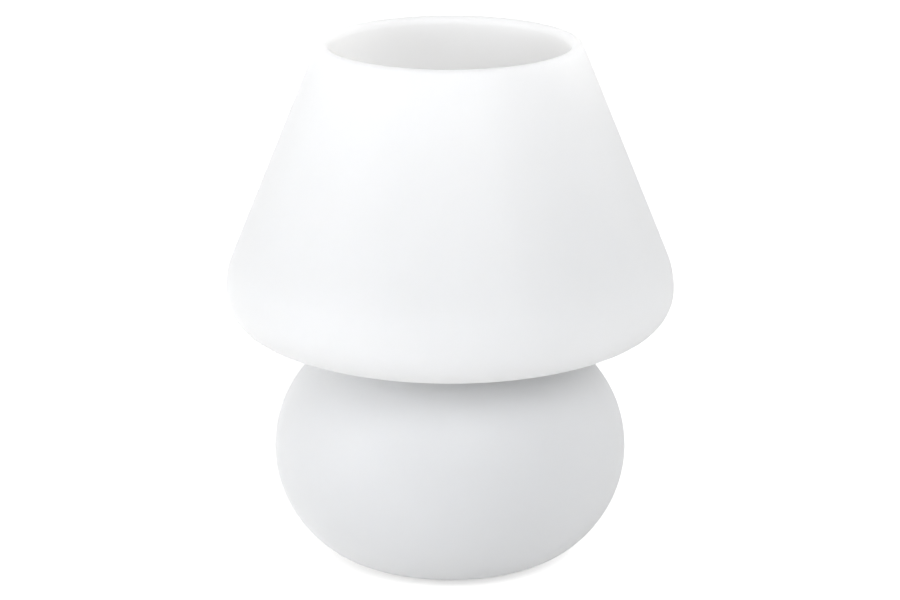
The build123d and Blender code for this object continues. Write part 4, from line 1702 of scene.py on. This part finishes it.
@dataclass
class Bulb:
    """Clear round bulb: rolled cap, blown globe on a glass stem, and four filaments."""

    thread: Thread = Thread(6.95, 0.8, 2.822, rolled=True, steps=12)
    thread_length: float = 13.3
    cap_wall: float = 0.3
    flare: float = 2.0
    skirt_radius: float = 8.5
    bead_drop: float = 2.0
    bead_half: float = 0.5
    bead_depth: float = 0.25
    bead_bend: float = 0.4
    rim_edge: float = 0.12
    press_reach: float = 0.1
    tip_radius: float = 3.2
    tip_nose: float = 1.2
    tip_edge: float = 0.4
    tip_waves: int = 3
    tip_wave: float = 0.02
    insulator_radius: float = 4.6
    insulator_top: float = 6.0
    globe_radius: float = 22.5
    globe_wall: float = 0.9
    neck_radius: float = 8.05
    neck_blend: float = 16.0
    stem_radius: float = 7.05
    stem_rod: float = 1.6
    stem_rise: float = 5.0
    stem_bulge: float = 0.5
    stem_bend: float = 0.6
    filament_count: int = 4
    filament_radius: float = 0.8
    filament_foot: float = 9.0
    filament_top: float = 4.0
    filament_drop: float = 4.1
    filament_share: float = 1.156
    core_radius: float = 0.5
    chip_taper: float = 0.08
    tab_length: float = 0.9
    tab_radius: float = 0.3
    tab_lap: float = 0.2
    tab_edge: float = 0.06
    chip_count: int = 24
    wire_radius: float = 0.25
    hub_radius: float = 0.9
    board_width: float = 10.6
    board_thickness: float = 0.8
    board_edge: float = 0.08
    chip_size: tuple[float, float, float] = (3.4, 1.2, 3.0)
    chip_across: float = -2.0
    chip_rises: tuple[float, ...] = (-2.4, 2.4)
    chip_edge: float = 0.12
    leg_size: tuple[float, float, float] = (0.8, 0.4, 0.35)
    leg_reach: float = 2.0
    leg_rises: tuple[float, ...] = (-1.1, 0.0, 1.1)
    resistor_size: tuple[float, float, float] = (1.6, 0.5, 0.8)
    resistor_across: float = 2.6
    resistor_rises: tuple[float, ...] = (-5.0, -3.2, -1.4)
    resistor_edge: float = 0.06
    can_radius: float = 1.6
    can_length: float = 3.2
    can_place: tuple[float, float] = (2.4, 3.0)

    def __post_init__(self) -> None:
        """Work out the filaments' places from the globe."""
        self.globe_z = heights("bulb_globe")[1] - self.globe_radius
        self.filament_length = self.filament_share * self.globe_radius
        lean = self.filament_foot - self.filament_top
        self.climb = math.sqrt(self.filament_length ** 2 - lean ** 2)
        self.foot_z = self.globe_z - self.filament_drop - self.climb / 2
        self.lean = math.atan2(lean, self.climb)

    def turns(self) -> list[Matrix]:
        """Work out the turn of each filament round the axis."""
        step = FULL_TURN / self.filament_count
        return [Matrix.Rotation(step * (index + 0.5), 4, "Z") for index in range(self.filament_count)]

    def leaning(self) -> Matrix:
        """Work out how a filament stands: its foot's place, and its lean towards the axis."""
        lean = Matrix.Rotation(-self.lean, 4, "Y")
        return Matrix.Translation((self.filament_foot, 0, self.foot_z)) @ lean

    def cap(self) -> None:
        """Roll the cap from thin sheet: thread, flare, and skirt with a crimped bead."""
        low, high = heights("bulb_cap")
        top, wall = low + self.thread_length, self.cap_wall
        outer, skirt = self.thread.crest, self.skirt_radius
        step = self.thread.pitch / self.thread.steps
        bead, half = high - self.bead_drop, self.bead_half
        depth, bend, edge = self.bead_depth, self.bead_bend, self.rim_edge
        inner = skirt - wall
        pen = Outline(outer, low).rows(outer, top, step)
        pen.path(
            (skirt, top + self.flare, 1.0), (skirt, bead - half), (skirt - depth, bead, bend),
            (skirt, bead + half), (skirt, high, edge), (inner, high, edge),
            (inner, bead + half), (inner - depth, bead, bend), (inner, bead - half),
            (inner, top + self.flare, 0.8), (outer - wall, top),
        )
        pen.rows(outer - wall, low, step).close()
        mesh = pen.spun(144)
        self.thread.press(mesh, low, top, (outer - wall - self.press_reach, outer + self.press_reach))
        finished(mesh, "bulb_cap_rolled", Body.BULB, NICKEL, "bulb_cap", sharp=ROLLED_SHARP)

    def insulator(self) -> None:
        """Press the black glass between the tip and the cap."""
        low, high = heights("bulb_insulator")
        middle = heights("bulb_tip")[1]
        pen = Outline(0, middle).line((self.tip_radius, middle), (self.tip_radius, low))
        pen.path((self.insulator_radius, low, 0.6), (self.insulator_top, high, 0.4), (0, high))
        finished(pen.spun(96), "bulb_insulator_pressed", Body.BULB, BLACK_GLASS, "bulb_insulator")

    def tip(self) -> None:
        """Drop the solder of the bulb's tip, a little uneven."""
        low, high = heights("bulb_tip")
        radius, edge = self.tip_radius, self.tip_edge
        pen = Outline(0, low).path(
            (self.tip_nose, low, 0.9), (radius, high - edge, edge), (radius, high), (0, high),
            chords=6,
        )
        mesh = pen.spun(72)
        for vert in mesh.verts:
            if low + WELD < vert.co.z < high - WELD and vert.co.xy.length > self.tip_nose / 2:
                wave = math.sin(self.tip_waves * math.atan2(vert.co.y, vert.co.x) + 1) - 1
                vert.co.xy *= 1 + self.tip_wave * wave
        finished(mesh, "bulb_tip_soldered", Body.BULB, SOLDER, "bulb_tip")

    def globe(self) -> None:
        """Blow the globe: a sphere that runs into its neck through a hollow arc."""
        low, high = heights("bulb_globe")
        reach = self.neck_radius + self.neck_blend
        drop = math.sqrt((self.globe_radius + self.neck_blend) ** 2 - reach ** 2)
        blend, centre = (reach, self.globe_z - drop), (0, self.globe_z)
        sweep = math.degrees(math.atan2(drop, -reach))
        pen = Outline(self.neck_radius, low).line((self.neck_radius, blend[1]))
        pen.arc(blend, sweep - 180, 16).arc(centre, 270 - sweep, 48)
        pen.hop(0, high - self.globe_wall).arc(centre, sweep - 270, 48).arc(blend, 180 - sweep, 16)
        pen.line((self.neck_radius - self.globe_wall, low)).close()
        finished(pen.spun(128), "bulb_globe_blown", Body.BULB, CLEAR, "bulb_globe")

    def stem(self) -> None:
        """Draw the hollow glass stem, flared at its foot and pinched at its tip."""
        low, high = heights("bulb_stem")
        flare, bar, rise = self.stem_radius, self.stem_rod, self.stem_rise
        bulge, bend = self.stem_bulge, self.stem_bend
        pen = Outline(0, low + rise - 1.0).path(
            (flare - 2.0, low, 3.0), (flare, low, 0.3), (bar, low + rise, rise),
            (bar, high - 2.6, bend), (bar + bulge, high - 1.6, bend), (bar - 0.2, high, bend),
            (0, high), chords=8,
        )
        finished(pen.spun(72), "bulb_stem_drawn", Body.BULB, CLEAR, "bulb_stem")

    def filaments(self) -> None:
        """Coat the four filaments, each a row of chips under soft silicone."""
        made = []
        length, tab, radius = self.filament_length, self.tab_length, self.filament_radius
        pitch = (length - tab * 2) / self.chip_count
        for turn in self.turns():
            pen = Outline(0, tab).line((self.core_radius, tab))
            for index in range(self.chip_count):
                start = tab + pitch * index
                pen.line((radius, start + pitch * 0.5), (radius - self.chip_taper, start + pitch))
            pen.line((0, length - tab))
            made.append(moved(pen.spun(20), turn @ self.leaning()))
        finished(joined(*made), "led_filaments_coated", Body.BULB, FILAMENT, "led_filaments", sharp=60)

    def wires(self) -> None:
        """Bend the lead wires, with the flat tabs that hold the filaments and the hub on top."""
        stem_top, top = heights("bulb_stem")[1], self.foot_z + self.climb
        hub = top + 1.0
        start = self.stem_rod - 0.2
        made = []
        for turn in self.turns():
            foot = bent(
                self.wire_radius, (start, 0, stem_top - 1.4), (start + 2.5, 0, stem_top - 0.6),
                (self.filament_foot - 1.5, 0, stem_top + 0.5),
                (self.filament_foot + 0.25, 0, self.foot_z - 2.4), (self.filament_foot, 0, self.foot_z),
            )
            head = bent(
                self.wire_radius, (self.filament_top, 0, top), (self.filament_top - 0.35, 0, top + 1.3),
                (self.filament_top * 0.5, 0, hub + 0.35), (0.3, 0, hub),
            )
            tall = self.tab_length + self.tab_lap
            for low in (-self.tab_lap, self.filament_length - self.tab_length):
                size = (self.tab_radius * 2, self.tab_radius * 3, tall)
                tab = bevelled(block(size, (0, 0, low + tall / 2)), self.tab_edge)
                made.append(moved(tab, turn @ self.leaning()))
            made += [moved(foot, turn), moved(head, turn)]
        bead = Outline(0, hub - self.hub_radius).arc((0, hub), 180, 16)
        made.append(bead.spun(32))
        finished(joined(*made), "filament_wires_bent", Body.BULB, LEAD, "filament_wires", sharp=50)

    def board(self) -> None:
        """Make the driver board with its chips, resistors and capacitor."""
        low, high = heights("driver_board")
        half, middle = self.board_thickness / 2, (low + high) / 2
        size = (self.board_width, self.board_thickness, high - low)
        plate = bevelled(block(size, (0, 0, middle)), self.board_edge)
        finished(plate, "driver_board_etched", Body.BULB, BOARD, "driver_board")
        parts = []
        for rise in self.chip_rises:
            place = (self.chip_across, -half - self.chip_size[1] / 2, middle + rise)
            parts.append(bevelled(block(self.chip_size, place), self.chip_edge))
            for leg in self.leg_rises:
                for side in (-1, 1):
                    across = self.chip_across + side * self.leg_reach
                    place = (across, -half - self.leg_size[1] / 2, middle + rise + leg)
                    parts.append(block(self.leg_size, place))
        for rise in self.resistor_rises:
            place = (self.resistor_across, -half - self.resistor_size[1] / 2, middle + rise)
            parts.append(bevelled(block(self.resistor_size, place), self.resistor_edge))
        radius, length = self.can_radius, self.can_length
        can = Outline(0, half).path((radius, half), (radius, length, 0.3), (0, length), chords=3)
        across, rise = self.can_place
        out = Matrix.Translation((across, 0, middle + rise)) @ Matrix.Rotation(math.pi / 2, 4, "X")
        parts.append(moved(can.spun(32), out))
        finished(joined(*parts), "driver_board_parts", Body.BULB, CHIPS)

    def build(self) -> None:
        """Make the bulb from its tip to its globe."""
        self.tip()
        self.insulator()
        self.cap()
        self.globe()
        self.stem()
        self.filaments()
        self.wires()
        self.board()


# ------------------------------------------------------------------ the studio


@dataclass(frozen=True)
class SoftBox:
    """Square soft light that faces a point. Lengths are in metres, the power in watts."""

    name: str
    place: tuple[float, float, float]
    power: float
    size: float = 1.0
    aim: tuple[float, float, float] = (0.0, 0.0, 0.1)

    def hang(self) -> None:
        """Hang the light in the scene."""
        light = bpy.data.lights.new(self.name, "AREA")
        light.size, light.energy = self.size, self.power
        stand = bpy.data.objects.new(self.name, light)
        stand.location = self.place
        aimed = Vector(self.aim) - Vector(self.place)
        stand.rotation_euler = aimed.to_track_quat("-Z", "Y").to_euler()
        bpy.context.scene.collection.objects.link(stand)


@dataclass(frozen=True)
class Studio:
    """Camera, soft lights and a plain pale floor. Lengths are in metres."""

    camera_place: tuple[float, float, float] = (0.0, -1.0, 0.40504)
    camera_drop: float = 17.24
    focal_length: float = 116.74
    sensor_width: float = 36.0
    fill: float = 0.75
    floor_colour: tuple[float, float, float] = (0.72, 0.72, 0.72)
    floor_glow: float = 0.45
    floor_size: float = 12.0
    lights: tuple[SoftBox, ...] = (
        SoftBox("left_low", (-1.75, -0.95, 0.5), 23.5),
        SoftBox("front_high", (0.7, -1.7, 1.2), 27.0),
    )

    def place_camera(self) -> None:
        """Stand the camera where the photograph was taken from."""
        camera = bpy.data.cameras.new("camera")
        camera.lens = self.focal_length
        camera.sensor_width = self.sensor_width
        camera.sensor_fit = "HORIZONTAL"
        camera.clip_end = 50
        stand = bpy.data.objects.new("camera", camera)
        stand.location = self.camera_place
        stand.rotation_euler = (math.radians(90 - self.camera_drop), 0, 0)
        bpy.context.scene.collection.objects.link(stand)
        bpy.context.scene.camera = stand

    def seen_rays(self, wiring: Wiring) -> bpy.types.NodeSocket:
        """Mask the rays that show a surface to the eye.

        Args:
            wiring: Tree to build in.

        Returns:
            Output that is 1 for a ray from the camera, a reflection or clear glass.
        """
        path = wiring.node("LightPath").outputs
        seen = path["Is Camera Ray"]
        for other in ("Is Glossy Ray", "Is Transmission Ray"):
            seen = wiring.sum_up("MAXIMUM", seen, path[other])
        return seen

    def surround(self) -> None:
        """Give the world an even fill, which looks white."""
        world = bpy.data.worlds.new("studio")
        world.use_nodes = True
        wiring = Wiring(world.node_tree)
        sky = preset(wiring.tree.nodes["Background"], Color=(1, 1, 1, 1))
        level = preset(wiring.node("MapRange"), To_Min=self.fill, To_Max=1.0)
        wiring.wire(self.seen_rays(wiring), level.inputs["Value"])
        wiring.wire(level.outputs["Result"], sky.inputs["Strength"])
        bpy.context.scene.world = world

    def lay_floor(self) -> None:
        """Lay a large pale floor that looks white and keeps the lamp's shadow."""
        mesh = bmesh.new()
        bmesh.ops.create_grid(mesh, x_segments=1, y_segments=1, size=self.floor_size)
        data = bpy.data.meshes.new("floor")
        mesh.to_mesh(data)
        mesh.free()
        floor = bpy.data.objects.new("floor", data)
        bpy.context.scene.collection.objects.link(floor)
        shading = Shading("floor_paint")
        preset(
            shading.shader, Base_Color=(*self.floor_colour, 1), Roughness=0.9,
            Specular_IOR_Level=0.0, Emission_Color=(1, 1, 1, 1),
        )
        glow = preset(shading.node("MapRange"), To_Max=self.floor_glow)
        shading.wire(self.seen_rays(shading), glow.inputs["Value"])
        shading.wire(glow.outputs["Result"], shading.shader.inputs["Emission Strength"])
        data.materials.append(shading.material)

    def build(self) -> None:
        """Set the whole studio up."""
        bpy.context.scene.view_settings.view_transform = "Standard"
        self.place_camera()
        self.surround()
        self.lay_floor()
        for light in self.lights:
            light.hang()


def dress(nodes: dict[str, bpy.types.Object]) -> None:
    """Give each node of the frame its finish.

    Args:
        nodes: Nodes by name.
    """
    for name, node in nodes.items():
        node.data.materials.clear()
        node.data.materials.append(DRESSED[name].material())


def main() -> None:
    """Load the frame, set up the studio and build each sub-assembly."""
    logging.basicConfig(level=logging.INFO, format="%(name)s: %(message)s")
    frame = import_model()
    Studio().build()
    dress(frame["nodes"])
    glass = GlassBody()
    glass.build()
    FootClamp().build()
    CordInlet().build(glass)
    HolderMount().build()
    Lampholder().build()
    Bulb().build()


if __name__ == "__main__":
    main()
